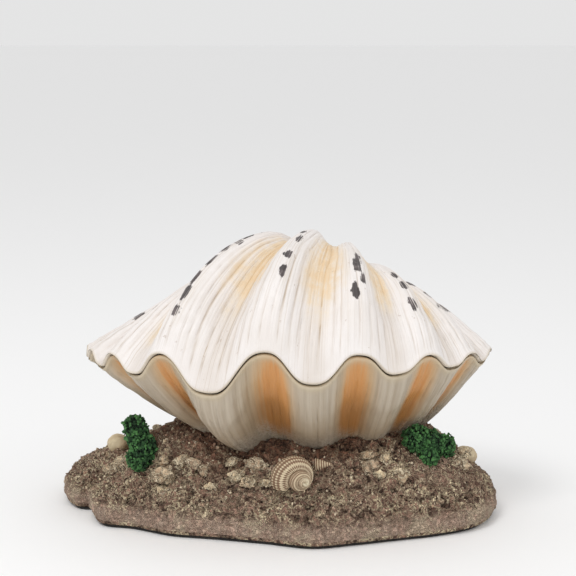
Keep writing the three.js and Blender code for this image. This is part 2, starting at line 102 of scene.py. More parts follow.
# Painted spots: a column of dabs along each rib of the upper valve, in the order of RIBS. Each has the shares
# of the way to the beak where it starts and ends, and how many dabs.
SPOT_COLUMNS = [
    (0.4, 0.4, 1), (0.3, 0.3, 1), (0.2, 0.2, 1), (0.2, 0.2, 1), (0.2, 0.2, 1), (0.1, 0.55, 8), (0.2, 0.5, 4),
    (0.15, 0.35, 4), (0.2, 0.4, 3), (0.25, 0.45, 3), (0.3, 0.3, 1), (0.3, 0.3, 1), (0.4, 0.4, 1),
]
DAB_HALF_WIDTH = (1.0, 1.8)
DAB_HALF_LENGTH = (1.6, 3.0)

# Orange stains in the grooves of the upper valve: angle, share towards the beak, half width in degrees, half
# length as a share, and strength.
UPPER_STAINS = [
    (-23.0, 0.46, 9.0, 0.30, 1.0), (7.0, 0.42, 7.5, 0.30, 1.1), (29.0, 0.36, 7.0, 0.2, 0.9),
    (50.5, 0.33, 7.0, 0.18, 0.9), (-47.5, 0.16, 5.0, 0.10, 0.7), (71.0, 0.42, 5.0, 0.16, 0.6),
    (-84.0, 0.4, 6.0, 0.2, 0.5), (95.0, 0.4, 9.0, 0.2, 0.6), (-105.0, 0.4, 9.0, 0.2, 0.6),
    (128.0, 0.45, 9.0, 0.2, 0.6), (-134.0, 0.45, 9.0, 0.2, 0.6),
]

# Brown stains in the furrows of the lower valve, which lie under its arches; their darker middles also paint
# the furrows' shade.
LOWER_STAINS = [
    (-75.0, 0.18, 3.5, 0.20, 0.9), (-58.0, 0.18, 4.6, 0.22, 1.0), (-38.0, 0.17, 4.4, 0.22, 1.0),
    (-5.0, 0.15, 5.8, 0.17, 1.1), (-3.6, 0.17, 2.6, 0.15, 0.5), (19.0, 0.16, 4.8, 0.19, 1.2),
    (41.5, 0.18, 4.6, 0.22, 1.1), (61.0, 0.20, 4.0, 0.22, 1.0), (80.0, 0.22, 4.0, 0.2, 0.9),
    (-93.0, 0.22, 4.0, 0.2, 0.6), (110.0, 0.24, 7.0, 0.2, 0.6), (-118.0, 0.24, 7.0, 0.2, 0.6),
    (146.0, 0.24, 7.0, 0.2, 0.5), (-150.0, 0.24, 7.0, 0.2, 0.5),
]

# Outline of the base, seen from above, anticlockwise from the front.
OUTLINE = [
    (11, -53), (25, -49.5), (39, -44.8), (54, -39.5), (66, -32), (73, -19), (74.5, -3), (71, 13), (62, 30),
    (44, 45), (19, 53), (-14, 51), (-43, 47), (-64, 34), (-73.5, 17), (-74, 2), (-69.5, -8), (-64, -10),
    (-62.5, -18), (-58.5, -28), (-48, -31.8), (-35, -39.5), (-21, -43), (-4, -48),
]
BASE_HALF = (74.0, 53.0)
CASTING_FOOT = 1.2  # height where the casting starts, just above the foam sheet
PAD_HEIGHT = 0.85
PAD_INSET = 0.965  # share of the outline that the foam sheet covers

# Section of the base from its edge to its middle: share of the outline, and heights at the left, in the
# middle and at the right.
SLOPE = [
    (0.985, CASTING_FOOT, CASTING_FOOT, CASTING_FOOT), (1.0, 4, 4, 4), (0.99, 7.5, 7.5, 7.5),
    (0.95, 10.5, 10.5, 11), (0.86, 14, 14, 16), (0.76, 17.5, 19, 22.5), (0.66, 20, 24, 26.5),
    (0.56, 22.5, 28, 29), (0.4, 27, 29, 29), (0.2, 29, 29, 29),
]
SLOPE_SPREAD = 45.0  # how far from the middle the heights at the sides are reached
MOUNDS = [(-33, -19, 12.5, 8), (48, -12, 13, 3), (8, 32, 22, 2), (30, -36, 14, 1.5)]
BURY = 1.2  # how far the sand reaches into the underside of the lower valve
MOUND_RISE = (8.0, 11.0)  # the mounds rise out of the casting between these heights

HINGE = {"x": 6.0, "y": 31.5, "z": 54.5, "pin": 1.5, "barrel": 4.0, "barrel_half": 10.0,
         "play": 0.3, "cap": 3.2, "cap_reach": 16.9}
EARS = {"inner": 10.6, "outer": 14.0, "radius": 4.6, "web_top": 44.0, "foot": 13.0}
AIR = {"x": 6.0, "riser_y": 4.0, "z": 9.0, "bend": 9.0, "tube": 3.0, "bore": 2.0, "wall_y": 41.35,
       "holder": 31.0}

# Tufts of each clump of moss: place and radius. shade is over 1 where more of its crumbs are dark, as painted
# shade.
MOSS = {
    "moss_left": {
        "shade": 1.5,
        "tufts": [(-46.5, -22, 32.5, 3.6), (-45.5, -22, 29, 4.2), (-44, -23, 26, 4.6), (-45, -24, 21.5, 4.2)],
    },
    "moss_right": {
        "shade": 0.7,
        "tufts": [(45.5, -24, 28.5, 4.4), (50, -23, 26.5, 4.6), (55, -20, 25, 3.8), (49, -26, 23, 3.6)],
    },
}
PEBBLES = {
    "pebble_left": ((-54.5, 3, 20), (3.8, 3.4, 3.4)),
    "pebble_right": ((64.5, 2, 16), (4.4, 3.8, 3.1)),
}

SNAIL = {
    "place": (4.6, -40.5, 22.0), "axis": (0.45, -0.88, -0.15), "start": 2.6, "turns": 3.2, "mouth": 5.0,
    "taper": 2.2, "orbit": 0.62, "height": 11.0, "cords": 15, "beads": 46,
}
CONE = {"place": (12.2, -39.8, 24.1), "axis": (0.97, -0.05, 0.05), "radius": 1.9, "length": 5.2}
# Where rock chips lie in the sand: middle of the patch, its half sides, and how many chips.
CHIP_PATCHES = [
    ((-26, -31), (12, 5), 9), ((-52, -12), (5, 6), 5), ((-9, -34), (6, 4), 4), ((33, -35), (7, 4), 5),
    ((62, -15), (3, 4), 2), ((-40, 32), (16, 6), 3), ((46, 28), (10, 6), 2),
]
CHIP_LENGTH = (1.5, 4.2)
CHIP_SPACING = 3.0
GRAINS = 1700
MANTLE_TOP = 49.5
CRUMBS_PER_SQUARE_MM = 2.6


# ---------------------------------------------------------------- settings


def colour(name, description, default):
    return FloatVectorProperty(name=name, description=description, default=default, subtype="COLOR", size=3,
                               min=0.0, max=1.0)


class ClamShellSettings(bpy.types.PropertyGroup):
    white: colour("Upper valve", "Paint of the upper valve", (0.88, 0.835, 0.81))
    # Growth lines: a beige wash in the fine grooves that also stands in for their shade.
    line: colour("Growth lines", "Beige wash in the fine grooves of the upper valve", (0.56, 0.46, 0.36))
    orange: colour("Orange wash", "Wash in the flutes of the upper valve", (0.82, 0.56, 0.27))
    spot: colour("Spots", "Dark spots along the ribs", (0.032, 0.022, 0.022))
    cream: colour("Lower valve", "Resin of the lower valve", (0.42, 0.345, 0.255))
    # Brown wash: a stain in the furrows that also stands in for their shade.
    brown: colour("Brown wash", "Wash in the furrows of the lower valve", (0.62, 0.275, 0.075))
    rim: colour("Rim", "Cream edge of both valves", (0.62, 0.52, 0.36))
    nacre: colour("Inside", "Pearly lining of the valves", (0.80, 0.74, 0.68))
    columns: IntProperty(name="Columns", description="Facets round a valve", default=900, min=120, max=1000)
    riblets: FloatProperty(name="Riblets", description="Depth of the fine radial grooves", default=0.00062,
                           min=0.0, max=0.001, unit="LENGTH", precision=5)


class ClamBaseSettings(bpy.types.PropertyGroup):
    sand: colour("Sand", "Body colour of the cast sand", (0.46, 0.285, 0.212))
    # Crevices: a dark wash between the grains that also stands in for the shade there.
    shade: colour("Crevices", "Dark wash between the grains", (0.050, 0.026, 0.017))
    brush: colour("Dry brush", "Cream paint brushed over the high grains", (0.95, 0.79, 0.53))
    grit: FloatProperty(name="Grit", description="Height of the sand's relief", default=0.00125,
                        min=0.0, max=0.003, unit="LENGTH", precision=5)
    columns: IntProperty(name="Columns", description="Facets round the base", default=620, min=100, max=660)


class ClamTrimSettings(bpy.types.PropertyGroup):
    moss: colour("Moss", "Green of the moss clumps", (0.024, 0.078, 0.024))
    snail: colour("Snail", "Ground colour of the snail shell", (0.22, 0.13, 0.075))
    cord: colour("Snail cords", "Cream of the beaded cords", (0.70, 0.58, 0.40))
    pebble: colour("Pebbles", "Colour of the pebbles", (0.68, 0.57, 0.38))
    flesh: colour("Mantle", "Colour of the flesh inside the clam", (0.50, 0.20, 0.17))


class ClamStageSettings(bpy.types.PropertyGroup):
    floor: colour("Floor", "Plain pale floor", (0.97, 0.97, 0.97))
    lens: FloatProperty(name="Lens", description="Focal length of the camera", default=100.2, min=20, max=200)
    key: FloatProperty(name="Key light", description="Power of the key light", default=3.0, min=0,
                       unit="POWER")
    fill: FloatProperty(name="Fill light", description="Power of the fill light", default=0.6, min=0,
                        unit="POWER")


class ClamSettings(bpy.types.PropertyGroup):
    shell: PointerProperty(type=ClamShellSettings)
    base: PointerProperty(type=ClamBaseSettings)
    trim: PointerProperty(type=ClamTrimSettings)
    stage: PointerProperty(type=ClamStageSettings)


# ---------------------------------------------------------------- modelling helpers


def deselect_all():
    if bpy.context.object and bpy.context.object.mode != "OBJECT":
        bpy.ops.object.mode_set(mode="OBJECT")
    bpy.ops.object.select_all(action="DESELECT")


def select_only(piece):
    deselect_all()
    piece.select_set(True)
    bpy.context.view_layer.objects.active = piece


def settle(piece):
    """Puts a piece's place, turn and size into its mesh."""
    select_only(piece)
    bpy.ops.object.transform_apply(location=True, rotation=True, scale=True)


def apply_modifier(piece, kind, **settings):
    select_only(piece)
    modifier = piece.modifiers.new(kind.title(), kind)
    for key, value in settings.items():
        setattr(modifier, key, value)
    bpy.ops.object.modifier_apply(modifier=modifier.name)


def smooth(piece, degrees=180):
    select_only(piece)
    if degrees >= 180:
        bpy.ops.object.shade_smooth()
    else:
        bpy.ops.object.shade_smooth_by_angle(angle=math.radians(degrees))


def join(pieces):
    deselect_all()
    for piece in pieces:
        piece.select_set(True)
    bpy.context.view_layer.objects.active = pieces[0]
    bpy.ops.object.join()
    return pieces[0]


def finish(piece, name, body, material, replaced=()):
    """Names a piece, gives it its finish and places it in the frame."""
    settle(piece)
    piece.name = name
    piece.data.name = name
    piece.data.materials.clear()
    piece.data.materials.append(material)
    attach(piece, body)
    if replaced:
        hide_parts(*replaced)
    return piece


def seal(piece, distance=2e-6, outward=False):
    """Merges seams and poles."""
    select_only(piece)
    bpy.ops.object.mode_set(mode="EDIT")
    bpy.ops.mesh.select_all(action="SELECT")
    bpy.ops.mesh.remove_doubles(threshold=distance)
    if outward:
        bpy.ops.mesh.normals_make_consistent(inside=False)
    bpy.ops.object.mode_set(mode="OBJECT")


def wrapped_grid(columns, rows):
    """A primitive grid that will be bent into a closed skin. Its UV map runs round it and along it."""
    deselect_all()
    bpy.ops.mesh.primitive_grid_add(x_subdivisions=columns, y_subdivisions=rows, size=1, calc_uvs=True)
    return bpy.context.object


def bend_grid(piece, points):
    """Moves the vertices of a wrapped grid to points, an array of rows by columns by 3, in millimetres."""
    rows, columns, _ = points.shape
    flat = (points * MM).reshape(rows * columns, 3)
    piece.data.vertices.foreach_set("co", flat.ravel())
    piece.data.update()


def set_field(piece, name, values):
    """Stores one number for each vertex, which the materials read."""
    field = piece.data.attributes.new(name, "FLOAT", "POINT")
    field.data.foreach_set("value", np.ascontiguousarray(values, dtype=np.float32).ravel())


def set_uv(piece, u, v):
    """Writes the UV map from one u and one v for each vertex."""
    mesh = piece.data
    index = np.empty(len(mesh.loops), dtype=np.int32)
    mesh.loops.foreach_get("vertex_index", index)
    uv = np.stack([u.ravel()[index], v.ravel()[index]], axis=-1)
    mesh.uv_layers.active.data.foreach_set("uv", uv.astype(np.float32).ravel())


def normals_of(points):
    """Unit normals of a grid of points."""
    along = np.gradient(points, axis=0)
    across = np.gradient(points, axis=1)
    normal = np.cross(across, along)
    length = np.linalg.norm(normal, axis=-1, keepdims=True)
    return normal / np.maximum(length, 1e-9)


def along_rows(points):
    """Distance of each point of a grid from its first row, measured down its column."""
    return np.cumsum(np.linalg.norm(np.diff(points, axis=0, prepend=points[:1]), axis=-1), axis=0)


def random_curve(seed, count):
    """A smooth random curve between -1 and 1 that repeats after count steps."""
    values = np.random.default_rng(seed).uniform(-1, 1, count)

    def read(x):
        x = np.asarray(x, dtype=float) % count
        i = np.floor(x).astype(int) % count
        t = x - np.floor(x)
        t = t * t * (3 - 2 * t)
        return values[i] * (1 - t) + values[(i + 1) % count] * t

    return read


def smoothstep(low, high, value):
    t = np.clip((value - low) / (high - low), 0, 1)
    return t * t * (3 - 2 * t)


def ball(place, size, turn=(0, 0, 0), subdivisions=3):
    """An icosphere stretched to a size and turned, in millimetres and degrees."""
    deselect_all()
    bpy.ops.mesh.primitive_ico_sphere_add(subdivisions=subdivisions, radius=1,
                                          location=[c * MM for c in place],
                                          rotation=[math.radians(c) for c in turn])
    piece = bpy.context.object
    piece.scale = [c * MM for c in size]
    settle(piece)
    return piece


def block(low, high, bevel=0.0, segments=3):
    """A box between two corners, in millimetres, with its edges rounded."""
    deselect_all()
    middle = [(a + b) / 2 * MM for a, b in zip(low, high)]
    bpy.ops.mesh.primitive_cube_add(size=1, location=middle)
    piece = bpy.context.object
    piece.scale = [(b - a) * MM for a, b in zip(low, high)]
    settle(piece)
    if bevel:
        apply_modifier(piece, "BEVEL", width=bevel * MM, segments=segments)
    return piece


def bar(low, high, radius, centre, axis="X", bevel=0.0, sides=64):
    """A round bar along an axis, from low to high, centred on the other two coordinates."""
    turns = {"X": (0, math.pi / 2, 0), "Y": (math.pi / 2, 0, 0), "Z": (0, 0, 0)}
    middle = list(centre)
    middle.insert("XYZ".index(axis), (low + high) / 2)
    deselect_all()
    bpy.ops.mesh.primitive_cylinder_add(vertices=sides, radius=radius * MM, depth=(high - low) * MM,
                                        location=[c * MM for c in middle], rotation=turns[axis])
    piece = bpy.context.object
    settle(piece)
    if bevel:
        apply_modifier(piece, "BEVEL", width=bevel * MM, segments=3, limit_method="ANGLE")
    return piece


def cut(piece, cutter, operation="DIFFERENCE"):
    """Joins a piece with another, or cuts it, and removes the other."""
    apply_modifier(piece, "BOOLEAN", object=cutter, operation=operation, solver="EXACT")
    bpy.data.objects.remove(cutter)
    return piece


def turned(profile, sides=48):
    """A turned piece standing on +Z: rings of radius and height, in millimetres, extruded one from the last.

    A profile that starts and ends with radius 0 is closed at its poles. Any other one closes on itself.
    """
    solid = profile[0][0] == 0
    rings = profile if solid else [*profile, profile[0]]
    tiny = 1e-4
    deselect_all()
    bpy.ops.mesh.primitive_circle_add(vertices=sides, radius=max(rings[0][0], tiny) * MM,
                                      location=(0, 0, rings[0][1] * MM))
    piece = bpy.context.object
    settle(piece)
    bpy.ops.object.mode_set(mode="EDIT")
    bpy.ops.mesh.select_all(action="SELECT")
    for (r0, h0), (r1, h1) in zip(rings, rings[1:]):
        bpy.ops.mesh.extrude_edges_move(TRANSFORM_OT_translate={"value": (0, 0, (h1 - h0) * MM)})
        grow = max(r1, tiny) / max(r0, tiny)
        bpy.ops.transform.resize(value=(grow, grow, 1), center_override=(0, 0, h1 * MM))
    bpy.ops.object.mode_set(mode="OBJECT")
    seal(piece, distance=1e-6, outward=True)
    return piece


def swept(centres, frames, sections):
    """A closed tube with a shaped section. Each ring is centre + section x in the frame's two directions."""
    ring = centres[:, None] + sections[..., :1] * frames[:, None, 0] + sections[..., 1:] * frames[:, None, 1]
    ends = [np.repeat(centres[i][None], ring.shape[1], axis=0)[None] for i in (0, -1)]
    points = np.concatenate([ends[0], ring, ends[1]])
    piece = wrapped_grid(points.shape[1] - 1, points.shape[0] - 1)
    bend_grid(piece, points)
    return piece


def surface_of(piece, start, down):
    """Finds the height of a finished piece at a place, looking down or up from a start in metres."""
    tree = BVHTree.FromObject(piece, bpy.context.evaluated_depsgraph_get())
    direction = Vector((0, 0, -1 if down else 1))

    def height(x, y):
        hit = tree.ray_cast(Vector((x * MM, y * MM, start)), direction)
        return hit[0].z / MM if hit[0] is not None else None

    return height


def scatter(seeds, name):
    """One mesh of many small shapes, each given as its shape, place, turn, size and tone."""
    vertices, faces, tones, offset = [], [], [], 0
    for shape, place, turn, size, tone in seeds:
        matrix = Matrix.LocRotScale(Vector(place) * MM, Euler(turn), Vector(size) * MM)
        moved = shape[0] @ np.array(matrix.to_3x3()).T + np.array(matrix.translation)
        vertices.append(moved)
        faces.append(shape[1] + offset)
        tones.append(np.full(len(moved), tone))
        offset += len(moved)
    mesh = bpy.data.meshes.new(name)
    mesh.from_pydata(np.concatenate(vertices), [], np.concatenate(faces))
    piece = bpy.data.objects.new(name, mesh)
    bpy.context.scene.collection.objects.link(piece)
    set_field(piece, "tone", np.concatenate(tones))
    return piece


def crumb_shape(seed, roughness):
    """A small angular crumb of 20 faces, as its points and triangles."""
    deselect_all()
    bpy.ops.mesh.primitive_ico_sphere_add(subdivisions=1, radius=1)
    crumb = bpy.context.object
    points = np.array([v.co for v in crumb.data.vertices])
    triangles = np.array([p.vertices for p in crumb.data.polygons])
    bpy.data.objects.remove(crumb)
    points *= 1 + np.random.default_rng(seed).uniform(-roughness, roughness, (len(points), 1))
    return points, triangles


# ---------------------------------------------------------------- shader helpers


class Wires:
    """Adds nodes to a shader tree and joins them."""

    def __init__(self, tree):
        self.tree = tree

    def node(self, kind, inputs=None, **settings):
        node = self.tree.nodes.new(kind)
        for key, value in settings.items():
            setattr(node, key, value)
        for key, value in (inputs or {}).items():
            if isinstance(value, bpy.types.NodeSocket):
                self.tree.links.new(value, node.inputs[key])
            else:
                node.inputs[key].default_value = value
        return node

    def math(self, operation, a, b=0.0, clamp=False):
        node = self.node("ShaderNodeMath", {0: a, 1: b}, operation=operation, use_clamp=clamp)
        return node.outputs[0]

    def times(self, a, b, clamp=False):
        return self.math("MULTIPLY", a, b, clamp=clamp)

    def plus(self, a, b, clamp=False):
        return self.math("ADD", a, b, clamp=clamp)

    def scaled(self, value, scale, shift=0.0):
        """value x scale + shift."""
        inputs = {0: value, 1: scale, 2: shift}
        return self.node("ShaderNodeMath", inputs, operation="MULTIPLY_ADD").outputs[0]

    def mix(self, factor, a, b, blend="MIX"):
        a, b = (value if isinstance(value, bpy.types.NodeSocket) else (*value, 1.0) for value in (a, b))
        node = self.node("ShaderNodeMix", {0: factor, 6: a, 7: b}, data_type="RGBA", blend_type=blend)
        return node.outputs[2]

    def step(self, value, low, high):
        """0 below low, 1 above high and smooth between them."""
        inputs = {"Value": value, "From Min": low, "From Max": high}
        return self.node("ShaderNodeMapRange", inputs, interpolation_type="SMOOTHSTEP").outputs[0]

    def field(self, name):
        return self.node("ShaderNodeAttribute", attribute_name=name).outputs["Fac"]

    def place(self, scale=(1, 1, 1), uv=False):
        source = self.node("ShaderNodeTexCoord").outputs["UV" if uv else "Object"]
        return self.node("ShaderNodeMapping", {"Vector": source, "Scale": scale}).outputs[0]

    def noise(self, vector, scale, detail=3.0, roughness=0.55, distortion=0.0):
        inputs = {"Vector": vector, "Scale": scale, "Detail": detail, "Roughness": roughness,
                  "Distortion": distortion}
        return self.node("ShaderNodeTexNoise", inputs).outputs[0]

    def group(self, tree, inputs):
        return self.node("ShaderNodeGroup", inputs, node_tree=tree).outputs

    def bump(self, height, distance, strength=1.0, normal=None):
        inputs = {"Height": height, "Distance": distance, "Strength": strength}
        if normal is not None:
            inputs["Normal"] = normal
        return self.node("ShaderNodeBump", inputs).outputs[0]


def new_group(name, inputs, outputs):
    """An empty shader group with named sockets. Returns its wires, its inputs and its output node."""
    tree = bpy.data.node_groups.new(name, "ShaderNodeTree")
    for label, kind, default in inputs:
        socket = tree.interface.new_socket(name=label, in_out="INPUT", socket_type=kind)
        if default is not None:
            socket.default_value = default
    for label, kind in outputs:
        tree.interface.new_socket(name=label, in_out="OUTPUT", socket_type=kind)
    wires = Wires(tree)
    return wires, wires.node("NodeGroupInput").outputs, wires.node("NodeGroupOutput")


def once(name, make):
    return bpy.data.node_groups.get(name) or make(name)


def fine_grain(name):
    """Speckled relief for cast and sintered surfaces."""
    sockets = [("Vector", "NodeSocketVector", None), ("Scale", "NodeSocketFloat", 900.0),
               ("Roughness", "NodeSocketFloat", 0.6)]
    wires, given, out = new_group(name, sockets, [("Height", "NodeSocketFloat"), ("Mask", "NodeSocketFloat")])
    coarse = wires.noise(given["Vector"], given["Scale"], 4.0, given["Roughness"])
    fine = wires.noise(given["Vector"], wires.times(given["Scale"], 2.7), 2.0)
    height = wires.plus(wires.times(coarse, 0.65), wires.times(fine, 0.35))
    wires.tree.links.new(height, out.inputs["Height"])
    wires.tree.links.new(wires.step(height, 0.42, 0.62), out.inputs["Mask"])
    return wires.tree


def mottle(name):
    """Soft patches, for paint that isn't quite even."""
    sockets = [("Vector", "NodeSocketVector", None), ("Scale", "NodeSocketFloat", 60.0),
               ("Low", "NodeSocketFloat", 0.35), ("High", "NodeSocketFloat", 0.65)]
    wires, given, out = new_group(name, sockets, [("Mask", "NodeSocketFloat")])
    cloud = wires.noise(given["Vector"], given["Scale"], 4.0, 0.6, 0.4)
    inputs = {"Value": cloud, "From Min": given["Low"], "From Max": given["High"]}
    mask = wires.node("ShaderNodeMapRange", inputs, interpolation_type="SMOOTHSTEP")
    wires.tree.links.new(mask.outputs[0], out.inputs["Mask"])
    return wires.tree


def streaks(name):
    """Fine lines that run from the rim of a valve to its beak, read from its UV map."""
    sockets = [("Lines", "NodeSocketFloat", 220.0), ("Length", "NodeSocketFloat", 2.2)]
    wires, given, out = new_group(name, sockets, [("Coarse", "NodeSocketFloat"), ("Fine", "NodeSocketFloat")])
    uv = wires.node("ShaderNodeTexCoord").outputs["UV"]
    for label, share in (("Coarse", 1.0), ("Fine", 2.9)):
        lines = wires.times(given["Lines"], share)
        scale = wires.node("ShaderNodeCombineXYZ", {0: lines, 1: given["Length"], 2: 1.0}).outputs[0]
        stretched = wires.node("ShaderNodeVectorMath", {0: uv, 1: scale}, operation="MULTIPLY").outputs[0]
        cloud = wires.noise(stretched, 1.0, 3.0, 0.55)
        wires.tree.links.new(cloud, out.inputs[label])
    return wires.tree


def grain_at(wires, place, scale):
    """The fine grain's Mask and Height."""
    return wires.group(once("Fine grain", fine_grain), {"Vector": place, "Scale": scale})


def mottle_at(wires, place, scale, **limits):
    """A mask of soft patches."""
    return wires.group(once("Mottle", mottle), {"Vector": place, "Scale": scale, **limits})["Mask"]


def net_at(wires, place, scale, width):
    """The curling net's Lines and Pits."""
    return wires.group(once("Curling net", curling_net), {"Vector": place, "Scale": scale, "Width": width})


def new_material(name, **sockets):
    """A material with one Principled BSDF. Returns the material, its wires and the shader."""
    material = bpy.data.materials.new(name)
    material.use_nodes = True
    wires = Wires(material.node_tree)
    shader = material.node_tree.nodes["Principled BSDF"]
    for key, value in sockets.items():
        shader.inputs[key.replace("_", " ")].default_value = value
    return material, wires, shader


def feed(wires, shader, **sockets):
    for key, value in sockets.items():
        wires.tree.links.new(value, shader.inputs[key.replace("_", " ")])


# ---------------------------------------------------------------- finishes


def upper_valve_finish(shell):
    """White paint with beige growth lines, orange flutes and dark streaky spots."""
    material, wires, shader = new_material("Valve white")
    lines = wires.group(once("Streaks", streaks), {"Lines": 210.0, "Length": 2.0})
    dapple = mottle_at(wires, wires.place(), 70.0)
    grain = grain_at(wires, wires.place(), 1500.0)
    crease = wires.field("crease")
    dabs = wires.noise(wires.place(), 260.0, 4.0, 0.65)
    tint = growth_lines(wires, shell, lines, dapple, crease)
    tint = orange_wash(wires, shell, lines, dabs, crease, tint)
    tint = painted_spots(wires, shell, lines, dabs, tint)
    edge = wires.step(wires.field("rim"), 1.3, 0.1)
    tint = wires.mix(wires.times(edge, 0.55), tint, shell.rim)
    speck = wires.step(wires.noise(wires.place(), 420.0, 2.0), 0.70, 0.74)
    tint = wires.mix(wires.times(speck, 0.3), tint, (0.34, 0.22, 0.13))
    tint = wires.mix(wires.field("inside"), tint, shell.nacre)
    height = wires.plus(lines["Coarse"], lines["Fine"])
    relief = wires.bump(wires.times(height, -0.5), 0.0005, 1.0)
    relief = wires.bump(grain["Height"], 0.0001, 0.6, relief)
    feed(wires, shader, Base_Color=tint, Roughness=wires.scaled(grain["Mask"], 0.12, 0.42), Normal=relief)
    return material


def growth_lines(wires, shell, lines, dapple, crease):
    """Warm white with beige in the fine grooves, here and there more of it. The beige is partly a wash and
    partly painted shade in the grooves and flutes.
    """
    white = wires.mix(wires.times(dapple, 0.4), shell.white, (0.78, 0.715, 0.66))
    washed = wires.scaled(wires.step(lines["Coarse"], 0.36, 0.64), 0.70, 0.30)
    # Beige in the fine grooves and along the furrows of the flutes: a wash that also paints the shade in them.
    groove_wash_and_shade = wires.times(wires.step(crease, 0.0, 0.62), washed)
    hairline = wires.times(wires.step(lines["Fine"], 0.52, 0.68), 0.38)
    furrow = wires.times(wires.math("POWER", wires.field("groove"), 8.0), 0.30)
    shade = wires.plus(wires.times(groove_wash_and_shade, 0.8), wires.plus(hairline, furrow), clamp=True)
    return wires.mix(shade, white, shell.line)


def orange_wash(wires, shell, lines, dabs, crease, tint):
    """Pale orange watercolour that ends in ragged streaks, with darker golden lines in its grooves that are
    partly painted shade.
    """
    uneven = wires.plus(wires.times(lines["Coarse"], 1.4), wires.times(dabs, 1.2))
    wash = wires.times(wires.field("stain"), wires.math("SUBTRACT", uneven, 0.62), clamp=True)
    peach = wires.mix(wires.step(wash, 0.3, 0.9), (0.85, 0.70, 0.50), shell.orange)
    # Darker golden in the grooves of the stain: partly the wash, partly painted shade.
    peach = wires.mix(wires.times(wires.step(crease, 0.0, 0.7), 0.55), peach, (0.66, 0.42, 0.15))
    return wires.mix(wires.times(wires.step(wash, 0.12, 0.6), 0.72), tint, peach)


def painted_spots(wires, shell, lines, dabs, tint):
    """Dark brown dabs with ragged outlines, scratched along the growth lines."""
    ragged = wires.scaled(wires.math("SUBTRACT", lines["Fine"], 0.5), 1.5)
    ragged = wires.plus(ragged, wires.scaled(wires.math("SUBTRACT", dabs, 0.5), 2.6))
    away = wires.plus(wires.field("spot"), ragged)
    scratch = wires.step(wires.plus(lines["Fine"], wires.scaled(dabs, 0.22, -0.11)), 0.525, 0.60)
    covered = wires.times(wires.step(away, 0.18, -0.18), wires.scaled(scratch, -0.85, 1.0))
    dark = wires.mix(wires.step(dabs, 0.40, 0.62), shell.spot, (0.10, 0.075, 0.075))
    return wires.mix(wires.times(covered, 0.95), tint, dark)


def lower_valve_finish(shell):
    """Grey-beige resin with fine pale streaks, orange-brown furrows, a darker foot and a crust where it meets
    the sand, with painted shade in its creases and in the furrows under the arches."""
    material, wires, shader = new_material("Valve cream", Coat_Weight=0.15, Coat_Roughness=0.3)
    lines = wires.group(once("Streaks", streaks), {"Lines": 170.0, "Length": 1.6})
    dapple = mottle_at(wires, wires.place(), 90.0)
    grain = grain_at(wires, wires.place(), 1500.0)
    crease = wires.field("crease")
    rim = wires.field("rim")
    pale = wires.mix(wires.step(lines["Coarse"], 0.36, 0.64), shell.cream, (0.52, 0.445, 0.345))
    tint = wires.mix(wires.times(wires.step(lines["Fine"], 0.50, 0.68), 0.26), pale, (0.64, 0.58, 0.49))
    # Darker in the fine creases: painted shade.
    tint = wires.mix(wires.times(wires.step(crease, 0.1, 0.8), 0.22), tint, (0.30, 0.22, 0.13))
    # Olive in the furrows under the arches of the upper valve: painted shade.
    olive = wires.times(wires.step(wires.field("groove"), 0.75, 0.2), 0.40)
    tint = wires.mix(olive, tint, (0.42, 0.32, 0.19))
    foot = wires.times(wires.step(rim, 7.0, 27.0), wires.scaled(dapple, 0.25, 0.60))
    tint = wires.mix(foot, tint, (0.33, 0.245, 0.155))
    tint = brown_wash_and_shade(wires, shell, lines, tint)
    crust = wires.times(wires.field("crust"), wires.step(grain["Height"], 0.40, 0.54))
    tint = wires.mix(wires.times(crust, 0.55), tint, (0.70, 0.62, 0.51))
    band = wires.step(rim, 3.6, 0.4)
    tint = wires.mix(wires.times(band, 0.6), tint, shell.rim)
    tint = wires.mix(wires.field("inside"), tint, shell.nacre)
    height = wires.plus(lines["Coarse"], lines["Fine"])
    relief = wires.bump(wires.times(height, 0.5), 0.0004, 1.0)
    rugged = wires.times(wires.field("crust"), grain["Height"])
    relief = wires.bump(rugged, 0.0012, 1.0, relief)
    feed(wires, shader, Base_Color=tint, Roughness=wires.scaled(dapple, 0.14, 0.32), Normal=relief)
    return material


def brown_wash_and_shade(wires, shell, lines, tint):
    """Orange-brown watercolour in the furrows, soft at its edges and darker in its middle, where it also
    paints the furrow's shade.
    """
    uneven = wires.scaled(wires.plus(lines["Coarse"], wires.times(lines["Fine"], 0.5)), 1.3, 0.0)
    wash = wires.times(wires.field("stain"), uneven, clamp=True)
    amber = wires.mix(wires.step(wash, 0.40, 0.95), (0.64, 0.375, 0.155), shell.brown)
    low = wires.times(wires.step(wires.field("rim"), 9.0, 24.0), 0.75)
    amber = wires.mix(low, amber, (0.26, 0.11, 0.028))
    return wires.mix(wires.times(wires.step(wash, 0.05, 0.9), 0.95), tint, amber)


def curling_net(name):
    """Thin curling lines where a cloud crosses its middle value, and the pits between them."""
    sockets = [("Vector", "NodeSocketVector", None), ("Scale", "NodeSocketFloat", 600.0),
               ("Width", "NodeSocketFloat", 0.05)]
    wires, given, out = new_group(name, sockets, [("Lines", "NodeSocketFloat"), ("Pits", "NodeSocketFloat")])
    cloud = wires.noise(given["Vector"], given["Scale"], 2.0, 0.6, 0.8)
    off = wires.math("ABSOLUTE", wires.math("SUBTRACT", cloud, 0.5))
    lines = wires.step(off, given["Width"], wires.times(given["Width"], 0.3))
    wires.tree.links.new(lines, out.inputs["Lines"])
    wires.tree.links.new(wires.step(cloud, 0.44, 0.38), out.inputs["Pits"])
    return wires.tree


